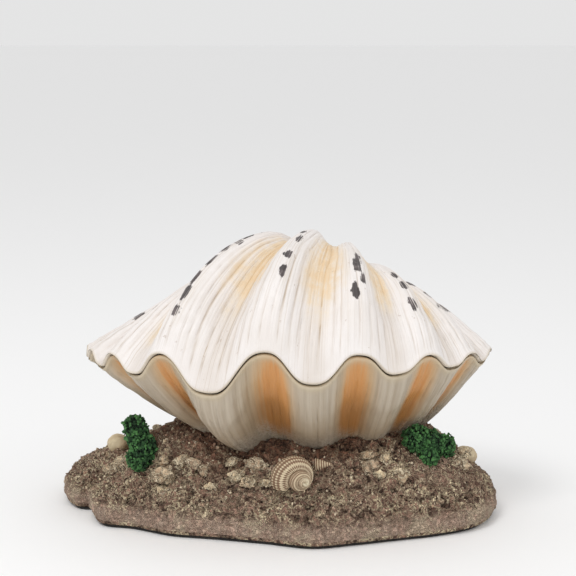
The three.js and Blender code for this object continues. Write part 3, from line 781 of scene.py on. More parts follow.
def sand_finish(base):
    """Cast sand: dark between the grains, a wash that also paints their shade, brown on them, with a curling
    net of cream on the peaks.
    """
    material, wires, shader = new_material("Sand", Roughness=0.92)
    shader.inputs["Specular IOR Level"].default_value = 0.25
    place = wires.place()
    relief = wires.field("relief")
    upland = wires.field("upland")
    skirt = wires.field("skirt")
    patch = mottle_at(wires, place, 85.0, Low=0.44, High=0.60)
    shift = mottle_at(wires, place, 38.0, Low=0.35, High=0.65)
    grain = grain_at(wires, place, 1100.0)
    net = net_at(wires, place, 400.0, 0.055)
    small = net_at(wires, place, 900.0, 0.06)

    ground = wires.mix(shift, base.sand, (0.35, 0.205, 0.147))
    ground = wires.mix(wires.times(upland, 0.85), ground, (0.24, 0.105, 0.058))
    ground = wires.mix(wires.times(grain["Mask"], 0.4), ground, (0.19, 0.105, 0.075))
    smooth_band = wires.scaled(skirt, -0.75, 1.0)
    # Pits and low relief are darkened towards the crevice colour: a dark wash that also paints the shade in
    # the hollows.
    pits = wires.plus(wires.times(net["Pits"], 0.75), wires.times(small["Pits"], 0.55))
    hollow = wires.plus(pits, wires.times(wires.step(relief, -0.2, -0.9), 0.6), clamp=True)
    deep = wires.times(wires.times(hollow, 0.95), smooth_band)
    ground = wires.mix(deep, ground, base.shade)

    lines = wires.plus(wires.times(net["Lines"], 1.25), wires.times(small["Lines"], 0.5))
    brushed = wires.times(lines, wires.scaled(wires.step(relief, -0.6, 0.4), 0.5, 0.5))
    amount = wires.times(wires.scaled(patch, 0.80, 0.36), wires.scaled(upland, -0.70, 1.0))
    brushed = wires.times(wires.times(brushed, amount), wires.scaled(skirt, -0.4, 1.0), clamp=True)
    tint = wires.mix(brushed, ground, base.brush)
    streak = wires.noise(wires.place((700.0, 700.0, 130.0)), 1.0, 3.0)
    rubbed = wires.times(skirt, wires.times(wires.step(streak, 0.46, 0.66), 0.55))
    tint = wires.mix(rubbed, tint, (0.66, 0.53, 0.41))
    olive = wires.times(wires.times(skirt, wires.step(patch, 0.55, 1.0)), 0.75)
    tint = wires.mix(olive, tint, (0.66, 0.56, 0.38))

    tint = wires.mix(wires.times(skirt, 0.45), tint, (0.74, 0.55, 0.43))
    height = wires.plus(wires.scaled(lines, 1.3), wires.math("SUBTRACT", grain["Height"], pits))
    feed(wires, shader, Base_Color=tint, Normal=wires.bump(height, 0.0009, 1.0))
    return material


def rubble_finish(base):
    """Crusty chips and grains, from sand brown to the pale colour of coral rock."""
    material, wires, shader = new_material("Rubble", Roughness=0.9)
    shader.inputs["Specular IOR Level"].default_value = 0.25
    place = wires.place()
    grain = grain_at(wires, place, 900.0)
    dapple = mottle_at(wires, place, 300.0, Low=0.4, High=0.6)
    net = net_at(wires, place, 520.0, 0.07)
    lines = net["Lines"]
    tone = wires.field("tone")
    tint = wires.mix(tone, base.sand, base.brush)
    tint = wires.mix(wires.times(dapple, 0.4), tint, (0.42, 0.27, 0.17))
    tint = wires.mix(wires.times(lines, 0.7), tint, (0.95, 0.84, 0.62))
    # Dark in the pits of the net: painted shade in the hollows.
    tint = wires.mix(wires.times(net["Pits"], 0.5), tint, (0.15, 0.085, 0.05))
    tint = wires.mix(wires.times(grain["Mask"], 0.3), tint, (0.16, 0.09, 0.055))
    height = wires.plus(wires.math("SUBTRACT", lines, net["Pits"]), grain["Height"])
    feed(wires, shader, Base_Color=tint, Normal=wires.bump(height, 0.0009, 1.0))
    return material


def moss_finish(trim):
    """Flocked foam, with painted shade between its crumbs and painted light on those that stand out."""
    material, wires, shader = new_material("Moss", Roughness=0.95)
    place = wires.place()
    patch = wires.step(wires.noise(place, 500.0, 3.0), 0.38, 0.62)
    grain = grain_at(wires, place, 2200.0)
    tone = wires.plus(wires.times(wires.field("tone"), 0.75), wires.times(patch, 0.25))
    # Dark crumbs sit deeper and bright ones stand out: painted shade and painted light.
    tint = wires.mix(wires.step(tone, 0.05, 0.55), (0.006, 0.019, 0.008), trim.moss)
    tint = wires.mix(wires.step(tone, 0.50, 0.95), tint, (0.095, 0.260, 0.075))
    tint = wires.mix(wires.times(grain["Mask"], 0.35), tint, (0.008, 0.030, 0.010))
    feed(wires, shader, Base_Color=tint, Normal=wires.bump(grain["Height"], 0.0004, 1.0))
    return material


def snail_finish(trim):
    """Brown ground with cream beads, read from the relief of the shell."""
    material, wires, shader = new_material("Snail", Roughness=0.7)
    place = wires.place()
    grain = grain_at(wires, place, 1500.0)
    tint = wires.mix(wires.step(wires.field("relief"), -0.15, 0.85), trim.snail, trim.cord)
    tint = wires.mix(wires.field("apex"), tint, (0.74, 0.66, 0.48))
    tint = wires.mix(wires.times(grain["Mask"], 0.22), tint, (0.16, 0.09, 0.05))
    feed(wires, shader, Base_Color=tint, Normal=wires.bump(grain["Height"], 0.0002, 0.7))
    return material


def pebble_finish(trim):
    material, wires, shader = new_material("Pebble", Roughness=0.6)
    place = wires.place()
    dapple = mottle_at(wires, place, 240.0)
    grain = grain_at(wires, place, 1600.0)
    tint = wires.mix(wires.times(dapple, 0.6), trim.pebble, (0.44, 0.31, 0.17))
    feed(wires, shader, Base_Color=tint, Normal=wires.bump(grain["Height"], 0.0002, 0.8))
    return material


def flesh_finish(trim):
    """Wet-looking mantle with dark freckles along its frilled lip."""
    material, wires, shader = new_material("Mantle", Roughness=0.32, Coat_Weight=0.35, Coat_Roughness=0.15)
    place = wires.place()
    dapple = mottle_at(wires, place, 110.0)
    freckle = wires.step(wires.noise(place, 420.0, 2.0), 0.56, 0.62)
    tint = wires.mix(wires.times(dapple, 0.6), trim.flesh, (0.66, 0.36, 0.28))
    lip = wires.field("lip")
    tint = wires.mix(wires.times(lip, 0.65), tint, (0.30, 0.20, 0.15))
    tint = wires.mix(wires.times(wires.times(freckle, lip), 0.7), tint, (0.07, 0.045, 0.04))
    folds = wires.noise(place, 260.0, 3.0)
    feed(wires, shader, Base_Color=tint, Normal=wires.bump(folds, 0.0006, 0.6))
    return material


def pearl_finish():
    material, wires, shader = new_material("Pearl", Roughness=0.12, Coat_Weight=0.8, Coat_Roughness=0.05)
    cloud = wires.noise(wires.place(), 90.0, 2.0)
    # Pinker towards the rim, where the pearl turns away from the view: a painted sheen.
    edge = wires.node("ShaderNodeLayerWeight", {"Blend": 0.35}).outputs["Facing"]
    lustre = wires.mix(wires.step(cloud, 0.35, 0.65), (0.88, 0.84, 0.80), (0.84, 0.82, 0.86))
    feed(wires, shader, Base_Color=wires.mix(edge, lustre, (0.80, 0.66, 0.66)))
    return material


def plastic_finish(name, tint, roughness, grain_scale=1800.0, transmission=0.0):
    """Moulded plastic or silicone with a fine satin grain."""
    material, wires, shader = new_material(name)
    shader.inputs["Transmission Weight"].default_value = transmission
    place = wires.place()
    grain = grain_at(wires, place, grain_scale)
    dapple = mottle_at(wires, place, 130.0)
    worn = wires.mix(wires.times(dapple, 0.3), tint, tuple(min(1.0, c * 1.35 + 0.01) for c in tint))
    rough = wires.scaled(grain["Mask"], 0.15, roughness)
    feed(wires, shader, Base_Color=worn, Roughness=rough, Normal=wires.bump(grain["Height"], 0.00005, 0.6))
    return material


def steel_finish():
    """Drawn stainless wire, brushed along its length."""
    material, wires, shader = new_material("Steel pin", Metallic=1.0)
    brushed = wires.noise(wires.place((60.0, 3000.0, 3000.0)), 1.0, 2.0)
    tint = wires.mix(brushed, (0.50, 0.50, 0.51), (0.72, 0.72, 0.73))
    rough = wires.scaled(brushed, 0.2, 0.2)
    feed(wires, shader, Base_Color=tint, Roughness=rough, Normal=wires.bump(brushed, 0.00002, 0.5))
    return material


def stone_finish():
    """Sintered blue grit of the bubble stone."""
    material, wires, shader = new_material("Air stone", Roughness=0.95)
    place = wires.place()
    cells = wires.node("ShaderNodeTexVoronoi", {"Vector": place, "Scale": 1400.0})
    grain = grain_at(wires, place, 2400.0)
    # Dark in the gaps between the sintered grains: painted shade.
    hollow = wires.step(cells.outputs["Distance"], 0.15, 0.7)
    shade = wires.mix(hollow, (0.30, 0.43, 0.58), (0.07, 0.11, 0.18))
    tint = wires.mix(wires.times(grain["Mask"], 0.4), shade, (0.55, 0.62, 0.68))
    feed(wires, shader, Base_Color=tint, Normal=wires.bump(cells.outputs["Distance"], 0.0004, 1.0))
    return material


# ---------------------------------------------------------------- the valves


def ribs_at(angle):
    """Crest, depth, fold and groove of the shell at each angle. Groove is 0 on a rib and 1 in a flute."""
    after = np.vstack([RIBS, RIBS[0] + (360, 0, 0, 0, 0)])
    wrapped = np.where(angle < RIBS[0, 0], angle + 360, angle)
    i = np.clip(np.searchsorted(after[:, 0], wrapped, side="right") - 1, 0, len(RIBS) - 1)
    t = (wrapped - after[i, 0]) / (after[i + 1, 0] - after[i, 0])
    ease = t * t * (3 - 2 * t)
    crest, depth, arch = (after[i, k] + (after[i + 1, k] - after[i, k]) * ease for k in (1, 2, 3))
    wave = 0.5 - 0.5 * np.cos(TAU * t)
    groove = wave**TONGUE_WIDTH * (1 - SQUARENESS) + wave * wave * (3 - 2 * wave) * SQUARENESS
    return crest, depth, arch * (1 - groove) - after[i, 4] * groove, groove


RIM_WOBBLE = random_curve(5, 90)


def valve_points(valve, angle, s, grow=0.0, lipped=True):
    """Points of a valve's skin. s runs from the rim, 0, to the beak, 1, and grow moves the skin outwards."""
    side = valve["side"]
    crest, depth, fold, _ = ribs_at(angle)
    fold = fold + 0.22 * RIM_WOBBLE(angle / 4 + 45) * (1 - s) ** 3
    a = np.radians(angle)
    height = (crest if side > 0 else depth) + grow
    steepness = valve["front"] + (valve["sides"] - valve["front"]) * np.abs(np.sin(a)) ** 3
    push = SIDE_RELIEF * fold * side * np.sin(np.pi * np.minimum(1, 2 * s)) + grow * (1 - s)
    reach = np.where(np.cos(a) > 0, FRONT_DEPTH, BACK_DEPTH)
    rim_x = SHELL_CENTRE[0] + (HALF_WIDTH + push) * np.sin(a)
    rim_y = SHELL_CENTRE[1] - (reach + push) * np.cos(a)
    rising = (1 - np.clip(1 - s / SUMMIT, 0, 1) ** 2) ** steepness
    falling = 1 - (1 - (valve["rise"] + grow) / height) * np.clip((s - SUMMIT) / (1 - SUMMIT), 0, 1) ** 1.7
    share = np.where(s < SUMMIT, rising, falling)
    lip = np.clip(s / LIP_REACH, 0, 1) * LIP if lipped else 0.0
    bow = valve["bow"] * 4 * s * (1 - s) * np.exp(-(((angle - BOW_ANGLE) / BOW_SPREAD) ** 2))
    x = rim_x + (valve["beak"][0] - rim_x) * s + bow
    y = rim_y + (valve["beak"][1] - rim_y) * s
    z = RIM_HEIGHT + side * (RIM_GAP + lip + height * share) + fold * (1 - s) ** valve["fade"]
    return np.stack([x, y, z], axis=-1)


def rim_angles(columns):
    """Angles round the rim, closest together at the front."""
    x = np.linspace(-1, 1, columns)
    return 180 * (FRONT_SPACING * x + (1 - FRONT_SPACING) * x**3)


def riblets(angle, s, count, seed):
    """Rounded ridges with sharp grooves between them that run along the shell, wandering a little.

    Returns their height, about -1 in the deepest groove and 0.3 on a ridge.
    """
    wander = 0.35 * random_curve(seed, 40)(s * 6 + angle * 0.03)
    phase = angle * count / 360 + wander + 0.35 * random_curve(seed + 1, 97)(angle * 97 / 360 + 50)
    ridge = np.abs(np.sin(math.pi * phase)) ** 0.55
    depth = 0.55 + 0.45 * random_curve(seed + 2, 2 * count)(np.floor(phase) + 0.5 + 3 * s)
    return (ridge - 0.78) * 1.3 * depth


def valve_relief(angle, s):
    """Height of the fine relief over a valve: riblets of two sizes, growth steps and unevenness."""
    coarse = riblets(angle, s, 128, 21)
    fine = riblets(angle, s, 310, 31)
    steps = random_curve(23, 60)(s * 44 + 2.0 * coarse) * smoothstep(0.6, 0.0, s)
    uneven = random_curve(25, 70)(angle * 70 / 360 + 9 * s + 40) * random_curve(26, 30)(s * 19)
    return coarse + 0.4 * fine + 0.22 * steps + 0.5 * uneven, coarse + 0.4 * fine


def painted_dabs():
    """Angle, share of the way to the beak, half width and half length of each dab of paint."""
    draw = random.Random(5)
    dabs = []
    for rib, (low, high, count) in zip(RIBS, SPOT_COLUMNS):
        for share in np.linspace(low, high, count):
            angle = rib[0] + draw.uniform(-2, 2)
            share += draw.uniform(-0.01, 0.01)
            dabs.append((angle, share, draw.uniform(*DAB_HALF_WIDTH), draw.uniform(*DAB_HALF_LENGTH)))
    return dabs


def distance_to_spots(angle, points):
    """Millimetres from the edge of the nearest painted spot, below 0 inside it."""
    nearest = np.full(angle.shape, 20.0)
    for spot_angle, spot_s, half_width, half_length in painted_dabs():
        centre = valve_points(UPPER, np.array([spot_angle]), np.array([spot_s]))[0]
        ahead = valve_points(UPPER, np.array([spot_angle]), np.array([spot_s + 0.02]))[0]
        along = (ahead - centre) / np.linalg.norm(ahead - centre)
        offset = points - centre
        length = offset @ along
        width = np.linalg.norm(offset - length[..., None] * along, axis=-1)
        ring = np.hypot(width / half_width, length / half_length)
        nearest = np.minimum(nearest, (ring - 1) * min(half_width, half_length))
    return nearest


def stain_field(stains, angle, s):
    total = np.zeros(angle.shape)
    for at, middle, half_width, half_length, strength in stains:
        across = (angle - at) / half_width
        along = (s - middle) / half_length
        total += strength * np.exp(-(across**2)) * np.exp(-(along**4))
    return np.clip(total, 0, 1.3)


def make_valve(valve, stains, settings, overlap):
    """One closed skin: the inside from beak to rim, the rounded rim, and the outside back to the beak."""
    side = valve["side"]
    inner_s = np.linspace(1, 0, 18) ** 1.3
    rim_inset = np.linspace(WALL, 0, 7)[1:-1]
    outer_s = np.linspace(0, 1, 78) ** 1.4
    rows = len(inner_s) + len(rim_inset) + len(outer_s)
    angles = rim_angles(settings.columns)

    def skin(s, grow):
        angle, along = np.meshgrid(angles, s)
        return angle, along, valve_points(valve, angle, along, grow)

    _, _, inside = skin(inner_s, -WALL)
    angle, along, outside = skin(outer_s, -overlap)
    depth, crease = valve_relief(angle, along)
    fade = smoothstep(0.0, 0.035, along) * (1 - along) ** 0.6
    to_rim = along_rows(outside)
    bead = 0.45 * np.exp(-(((to_rim - 0.9) / 0.9) ** 2))
    lift = depth * fade * settings.riblets / MM + bead
    outside = outside + normals_of(outside) * side * lift[..., None]
    edge = []
    for inset in rim_inset:
        bulge = RIM_ROUND * abs(2 * inset / WALL - 1) ** 3
        ring = valve_points(valve, angles, np.zeros(len(angles)), -inset - overlap * (1 - inset / WALL))
        ring[:, 2] += side * bulge
        edge.append(ring)
    inside[-1, :, 2] += side * RIM_ROUND
    outside[0, :, 2] += side * RIM_ROUND
    points = np.concatenate([inside, np.array(edge), outside])
    points[:, -1] = points[:, 0]

    piece = wrapped_grid(settings.columns - 1, rows - 1)
    bend_grid(piece, points)
    before = len(inner_s) + len(rim_inset)
    everywhere = np.concatenate([inner_s, np.zeros(len(rim_inset)), outer_s])
    full_angle, full_s = np.meshgrid(angles, everywhere)
    set_uv(piece, full_angle / 360 + 0.5, full_s)
    rim = np.zeros(points.shape[:2])
    rim[before:] = to_rim
    creases = np.zeros(points.shape[:2])
    creases[before:] = -crease * fade
    set_field(piece, "crease", creases)
    inside_field = np.zeros(points.shape[:2])
    inside_field[: len(inner_s)] = 1.0
    set_field(piece, "rim", rim)
    set_field(piece, "inside", inside_field)
    set_field(piece, "groove", ribs_at(full_angle)[3])
    set_field(piece, "stain", stain_field(stains, full_angle, full_s))
    ragged_s = full_s + 0.05 * random_curve(27, 80)(full_angle / 4.5 + 45)
    set_field(piece, "crust", smoothstep(0.20, 0.34, ragged_s))
    if side > 0:
        set_field(piece, "spot", distance_to_spots(full_angle, points))
    seal(piece)
    smooth(piece)
    return piece


def upper_valve(settings):
    piece = make_valve(UPPER, UPPER_STAINS, settings.shell, 0.0)
    paint = upper_valve_finish(settings.shell)
    finish(piece, "upper_valve_skin", "lid", paint, ["upper_valve"])


def lower_valve(settings):
    piece = make_valve(LOWER, LOWER_STAINS, settings.shell, 0.7)
    paint = lower_valve_finish(settings.shell)
    finish(piece, "lower_valve_skin", "base", paint, ["lower_valve"])


def mantle(settings):
    """Soft flesh that lines the lower valve and swells into a frilled lip near its rim."""
    columns = 420
    angles = np.linspace(-180, 180, columns)
    under_s = np.linspace(1, 0.07, 26)
    over_s = np.linspace(0.10, 1, 44)
    angle, along = np.meshgrid(angles, under_s)
    under = valve_points(LOWER, angle, along, -WALL - 0.5)
    angle, along = np.meshgrid(angles, over_s)
    thick = 3.6 + 2.2 * np.exp(-(((along - 0.16) / 0.07) ** 2))
    over = valve_points(LOWER, angle, along, 0.0)
    frill = np.sin(np.radians(angle) * 31 + 1.5 * np.sin(np.radians(angle) * 5))
    lip = np.exp(-(((along - 0.10) / 0.10) ** 2))
    inward = normals_of(valve_points(LOWER, angle, along, -WALL))
    over = over + inward * (WALL + thick + 0.9 * frill * lip)[..., None]
    points = np.concatenate([under, over])
    waves = np.concatenate([np.zeros_like(under[..., 0]), frill * lip])
    points[..., 2] = np.minimum(points[..., 2], MANTLE_TOP + 0.8 * waves)
    points[:, -1] = points[:, 0]
    piece = wrapped_grid(columns - 1, len(under_s) + len(over_s) - 1)
    bend_grid(piece, points)
    set_field(piece, "lip", np.concatenate([np.zeros(under.shape[:2]), lip]))
    seal(piece)
    smooth(piece)
    finish(piece, "mantle_flesh", "base", flesh_finish(settings.trim), ["mantle"])


def pearl():
    low, high = (np.array(corner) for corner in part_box("pearl"))
    deselect_all()
    bpy.ops.mesh.primitive_ico_sphere_add(subdivisions=5, radius=(high[0] - low[0]) / 2)
    piece = bpy.context.object
    for vertex in piece.data.vertices:
        vertex.co *= 1 + 0.008 * noise.noise(vertex.co * 160)
    piece.location = (low + high) / 2
    smooth(piece)
    finish(piece, "pearl_bead", "base", pearl_finish(), ["pearl"])


# ---------------------------------------------------------------- the base


def outline_at(t):
    """The base's outline at shares of the way round it, as a closed Catmull-Rom curve fitted to its size."""
    knots = np.array(OUTLINE, dtype=float)
    count = len(knots)

    def curve(share):
        x = (share % 1.0) * count
        i = np.floor(x).astype(int)
        f = (x - i)[..., None]
        p0, p1, p2, p3 = (knots[(i + k) % count] for k in (-1, 0, 1, 2))
        return 0.5 * (2 * p1 + (p2 - p0) * f + (2 * p0 - 5 * p1 + 4 * p2 - p3) * f**2
                      + (3 * p1 - p0 - 3 * p2 + p3) * f**3)

    whole = curve(np.linspace(0, 1, 481))
    low, high = whole.min(axis=0), whole.max(axis=0)
    return ((curve(t) - low) / (high - low) * 2 - 1) * BASE_HALF


def mound_height(x, y):
    return sum(h * np.exp(-((x - mx) ** 2 + (y - my) ** 2) / r**2) for mx, my, r, h in MOUNDS)


def sand_relief(points):
    """Relief of the cast sand at each point, about -1 to 1: curling ridges, pits and lumps."""
    relief = np.empty(len(points))
    for i, p in enumerate(points):
        v = Vector(p)
        ridge = max(0.0, 1 - abs(noise.noise(v * 0.5)) / 0.22)
        pit = max(0.0, noise.noise(v * 0.75 + Vector((9, 2, 5))) - 0.08)
        clod = noise.noise(v * 0.34 + Vector((5, 1, 8)))
        lumps = noise.noise(v * 0.15 + Vector((3, 7, 1)))
        relief[i] = 0.55 * ridge - 1.7 * pit + 0.9 * clod + 0.7 * lumps
    return relief


def sand_base(settings):
    """The cast base: a dense skin from its underside round the edge to the sand under the shell."""
    base = settings.base
    columns = base.columns
    turn = np.linspace(-0.5, 0.5, columns)
    share_round = 0.9 * turn + 1.1 * turn * np.abs(turn)
    share_round = share_round / share_round.max() * 0.5
    outline = outline_at(share_round % 1.0)
    knots = np.array(SLOPE)
    steps = np.concatenate([[-2.0, -1.0], np.linspace(0, 4, 46)[:-1], np.linspace(4, 9, 96)])
    shares = np.interp(steps, [-2, -1, *range(10)], [0.0, 0.7, *knots[:, 0]])
    left, middle, right = (
        np.interp(steps, [-2, -1, *range(10)], [CASTING_FOOT] * 2 + list(knots[:, k]))[:, None]
        for k in (1, 2, 3)
    )
    share, step = np.broadcast_arrays(shares[:, None], steps[:, None] + np.zeros(columns))
    x = outline[None, :, 0] * shares[:, None]
    y = outline[None, :, 1] * shares[:, None]
    spread = np.minimum(1, np.abs(x) / SLOPE_SPREAD)
    z = middle + (np.where(x < 0, left, right) - middle) * spread
    z = z + mound_height(x, y) * smoothstep(*MOUND_RISE, z)
    points = np.stack([x, y, z], axis=-1)

    above = step >= 0.4
    skirt = smoothstep(2.6, 1.2, step) * above
    flat = points.reshape(-1, 3)
    relief = sand_relief(flat).reshape(step.shape)
    coarse = np.array([noise.fractal(Vector(p) * 0.07, 0.8, 2.0, 2) for p in flat]).reshape(step.shape)
    rough = np.where(above, 1.0 - 0.55 * skirt, 0.0) * smoothstep(0.4, 1.0, step)
    outward = normals_of(points)
    lift = relief * rough * base.grit / MM + coarse * 0.8 * smoothstep(1.2, 3.0, step)
    points = points + outward * lift[..., None]

    under = surface_of(bpy.data.objects["lower_valve_skin"], 0.0, down=False)
    for row in range(len(shares)):
        if shares[row] > 0.9 or steps[row] < 0:
            continue
        for column in range(columns):
            top = under(points[row, column, 0], points[row, column, 1])
            if top is not None and points[row, column, 2] > top + BURY:
                points[row, column, 2] = top + BURY
    limit = np.array(BASE_HALF) - 0.05
    points[..., :2] = np.clip(points[..., :2], -limit, limit)
    points[..., 2] = np.maximum(points[..., 2], CASTING_FOOT)
    points[-1] = points[-1].mean(axis=0)
    points[:, -1] = points[:, 0]

    piece = wrapped_grid(columns - 1, len(shares) - 1)
    bend_grid(piece, points)
    set_field(piece, "relief", relief)
    set_field(piece, "skirt", skirt)
    set_field(piece, "upland", smoothstep(0.80, 0.62, share + 0.05 * coarse) * above)
    seal(piece)
    recess_for_inlet(piece)
    smooth(piece)
    finish(piece, "sand_casting", "base", sand_finish(base), ["sand_base"])


def recess_for_inlet(piece):
    """Cuts the rounded recess at the back that the hose inlet stands in."""
    deselect_all()
    bpy.ops.mesh.primitive_cube_add(size=1, location=(AIR["x"] * MM, 0.0485, 0.0095))
    cutter = bpy.context.object
    cutter.scale = (0.022, 0.015, 0.021)
    settle(cutter)
    apply_modifier(cutter, "BEVEL", width=0.002, segments=4)
    apply_modifier(piece, "BOOLEAN", object=cutter, operation="DIFFERENCE", solver="FAST")
    bpy.data.objects.remove(cutter)


def scattered_chips():
    """Place, size and turn of each chip, with no two chips closer than CHIP_SPACING."""
    draw = random.Random(12)
    chips = []
    for middle, reach, count in CHIP_PATCHES:
        wanted = len(chips) + count
        while len(chips) < wanted:
            place = tuple(at + draw.uniform(-half, half) for at, half in zip(middle, reach))
            length = draw.uniform(*CHIP_LENGTH)
            size = (length, length * draw.uniform(0.55, 0.8), length * draw.uniform(0.5, 0.75))
            turn = draw.uniform(-90, 90)
            if all(math.dist(place, other) >= CHIP_SPACING for other, _, _ in chips):
                chips.append((place, size, turn))
    return chips


def chip(place, size, turn, seed):
    """An angular chip: a ball that is sliced flat on several sides."""
    draw = random.Random(seed)
    piece = ball((0, 0, 0), (1000, 1000, 1000), subdivisions=2)
    for vertex in piece.data.vertices:
        vertex.co *= 1 + 0.45 * noise.noise(vertex.co * 1.5 + Vector((seed, 0, 0)))
    select_only(piece)
    bpy.ops.object.mode_set(mode="EDIT")
    for _ in range(7):
        facing = Vector((draw.uniform(-1, 1), draw.uniform(-1, 1), draw.uniform(-0.2, 1))).normalized()
        bpy.ops.mesh.select_all(action="SELECT")
        bpy.ops.mesh.bisect(plane_co=facing * draw.uniform(0.5, 0.8), plane_no=facing, use_fill=True,
                            clear_outer=True)
    bpy.ops.object.mode_set(mode="OBJECT")
    apply_modifier(piece, "SUBSURF", subdivision_type="SIMPLE", levels=2, render_levels=2)
    for vertex in piece.data.vertices:
        rough = noise.noise(vertex.co * 4 + Vector((0, seed, 0))) + 0.6 * noise.noise(vertex.co * 9)
        vertex.co += vertex.normal * 0.24 * rough
    piece.scale = [c * MM for c in size]
    piece.rotation_euler = (draw.uniform(-0.3, 0.3), draw.uniform(-0.3, 0.3), math.radians(turn))
    piece.location = [c * MM for c in place]
    settle(piece)
    return piece


def rubble(settings):
    """Rock chips half sunk in the sand, and loose grains all over it."""
    ground = surface_of(bpy.data.objects["sand_casting"], 0.2, down=True)
    chips = []
    for seed, ((x, y), size, turn) in enumerate(scattered_chips()):
        level = ground(x, y)
        chips.append(chip((x, y, level + 0.3 * size[2]), [1.12 * c for c in size], turn, seed))
        set_field(chips[-1], "tone", np.full(len(chips[-1].data.vertices), 0.5 + 0.5 * ((seed * 7) % 5) / 4))
    piece = join(chips)
    smooth(piece, 30)
    finish(piece, "rubble_chips", "base", rubble_finish(settings.base))

    draw = random.Random(8)
    shapes = [crumb_shape(seed, 0.35) for seed in range(6)]
    grains = []
    while len(grains) < GRAINS:
        turn = draw.uniform(0, TAU)
        share = math.sqrt(draw.uniform(0.1, 0.94))
        x, y = outline_at(np.array([turn / TAU]))[0] * share
        level = ground(x, y)
        size = draw.choice((0.3, 0.4, 0.5, 0.7)) * draw.uniform(0.8, 1.2)
        tilt = [draw.uniform(0, TAU) for _ in range(3)]
        if level is None or level < 5 or level > 33 or under_shell(x, y):
            continue
        tone = draw.choice((0.0, 0.0, 0.15, 0.3, 0.9))
        place = (x, y, level + 0.1 * size)
        grains.append((draw.choice(shapes), place, tilt, (size, size * 0.8, size * 0.7), tone))
    piece = scatter(grains, "sand_grains")
    finish(piece, "sand_grains", "base", rubble_finish(settings.base))


def under_shell(x, y):
    """True where the foot of the lower valve stands on the sand."""
    return ((x - 14) / 46) ** 2 + ((y + 4) / 27) ** 2 < 1


def moss(settings):
    """Clumps of crumbled foam: lumpy hearts covered with hundreds of crumbs."""
    material = moss_finish(settings.trim)
    shapes = [crumb_shape(seed, 0.45) for seed in range(20, 26)]
    for node, clump in MOSS.items():
        tufts = clump["tufts"]
        draw = random.Random(node)
        hearts = [ball((x, y, z), (r * 0.70,) * 3) for x, y, z, r in tufts]
        for heart in hearts:
            for vertex in heart.data.vertices:
                vertex.co += vertex.normal * 0.0006 * noise.noise(vertex.co * 500)
        crumbs = []
        for x, y, z, r in tufts:
            for _ in range(int(CRUMBS_PER_SQUARE_MM * 4 * math.pi * r * r)):
                way = Vector([draw.gauss(0, 1) for _ in range(3)]).normalized()
                knobbly = 1 + 0.30 * noise.noise((Vector((x, y, z)) + way * r) * 0.45)
                size = draw.uniform(0.3, 0.8)
                tone = draw.random() ** clump["shade"]
                # Lighter crumbs are set farther out: painted light on the outer crumbs and painted shade
                # inside the clump.
                place = Vector((x, y, z)) + way * (r * (0.80 + 0.22 * tone) * knobbly)
                tilt = [draw.uniform(0, TAU) for _ in range(3)]
                crumbs.append((draw.choice(shapes), place, tilt, (size, size * 0.75, size * 0.6), tone))
        piece = join([scatter(crumbs, node), *hearts])
        finish(piece, node + "_foam", "base", material, [node])


def snail(settings):
    """A turban shell: a tapering whorl wound about its axis, with beaded cords along it."""
    rings, around = 760, 120
    t = np.linspace(0, 1, rings)
    turn = -TAU * SNAIL["turns"] * t + SNAIL["start"]
    size = SNAIL["mouth"] * np.exp(-SNAIL["taper"] * t)
    away = SNAIL["orbit"] * size
    rise = SNAIL["height"] * (1 - size / SNAIL["mouth"])
    centres = np.stack([away * np.cos(turn), away * np.sin(turn), rise], axis=-1)
    outward = np.stack([np.cos(turn), np.sin(turn), 0 * turn], axis=-1)
    frames = np.stack([outward, np.repeat([[0.0, 0.0, 1.0]], rings, axis=0)], axis=1)
    a = np.linspace(0, TAU, around)
    cord = np.cos(a[None] * SNAIL["cords"])
    bead = 0.5 + 0.5 * np.cos(turn[:, None] * SNAIL["beads"])
    relief = 0.55 * cord + 0.9 * bead - 0.45
    keel = np.exp(-(((a[None] - 0.9) / 0.22) ** 2)) * (0.6 + 0.6 * bead)
    radius = size[:, None] * (1 + 0.045 * relief + 0.07 * keel)
    mouth = smoothstep(0, 0.02, t)[:, None]
    radius = radius * (0.75 + 0.25 * mouth)
    sections = np.stack([radius * np.cos(a), radius * 0.92 * np.sin(a)], axis=-1)
    piece = swept(centres, frames, sections)
    padded = np.concatenate([relief[:1], relief + 0.9 * keel, relief[-1:]])
    set_field(piece, "relief", padded)
    apex = smoothstep(0.62, 0.86, np.concatenate([[0], t, [1]]))
    set_field(piece, "apex", np.repeat(apex[:, None], around, axis=1))
    seal(piece, outward=True)
    axis = Vector(SNAIL["axis"]).normalized()
    piece.rotation_euler = axis.to_track_quat("Z", "X").to_euler()
    piece.location = [c * MM for c in SNAIL["place"]]
    smooth(piece)
    finish(piece, "turban_shell", "base", snail_finish(settings.trim), ["turban_snail"])


def cone(settings):
    """A small spired shell that lies beside the snail."""
    length = CONE["length"]
    steps = np.linspace(0, 1, 90)
    spiral = 0.09 * np.cos(steps * TAU * 7)
    profile = [(0, 0), *((CONE["radius"] * (1 - s) ** 0.85 * (1 + w) + 0.05, length * s)
                         for s, w in zip(steps, spiral)), (0, length)]
    piece = turned(profile, 40)
    whorls = [math.cos(v.co.z / MM / length * TAU * 7) for v in piece.data.vertices]
    set_field(piece, "relief", np.array(whorls))
    set_field(piece, "apex", np.zeros(len(piece.data.vertices)))
    piece.rotation_euler = Vector(CONE["axis"]).to_track_quat("Z", "X").to_euler()
    piece.location = [c * MM for c in CONE["place"]]
    smooth(piece)
    finish(piece, "cone_shell_spire", "base", snail_finish(settings.trim), ["cone_shell"])


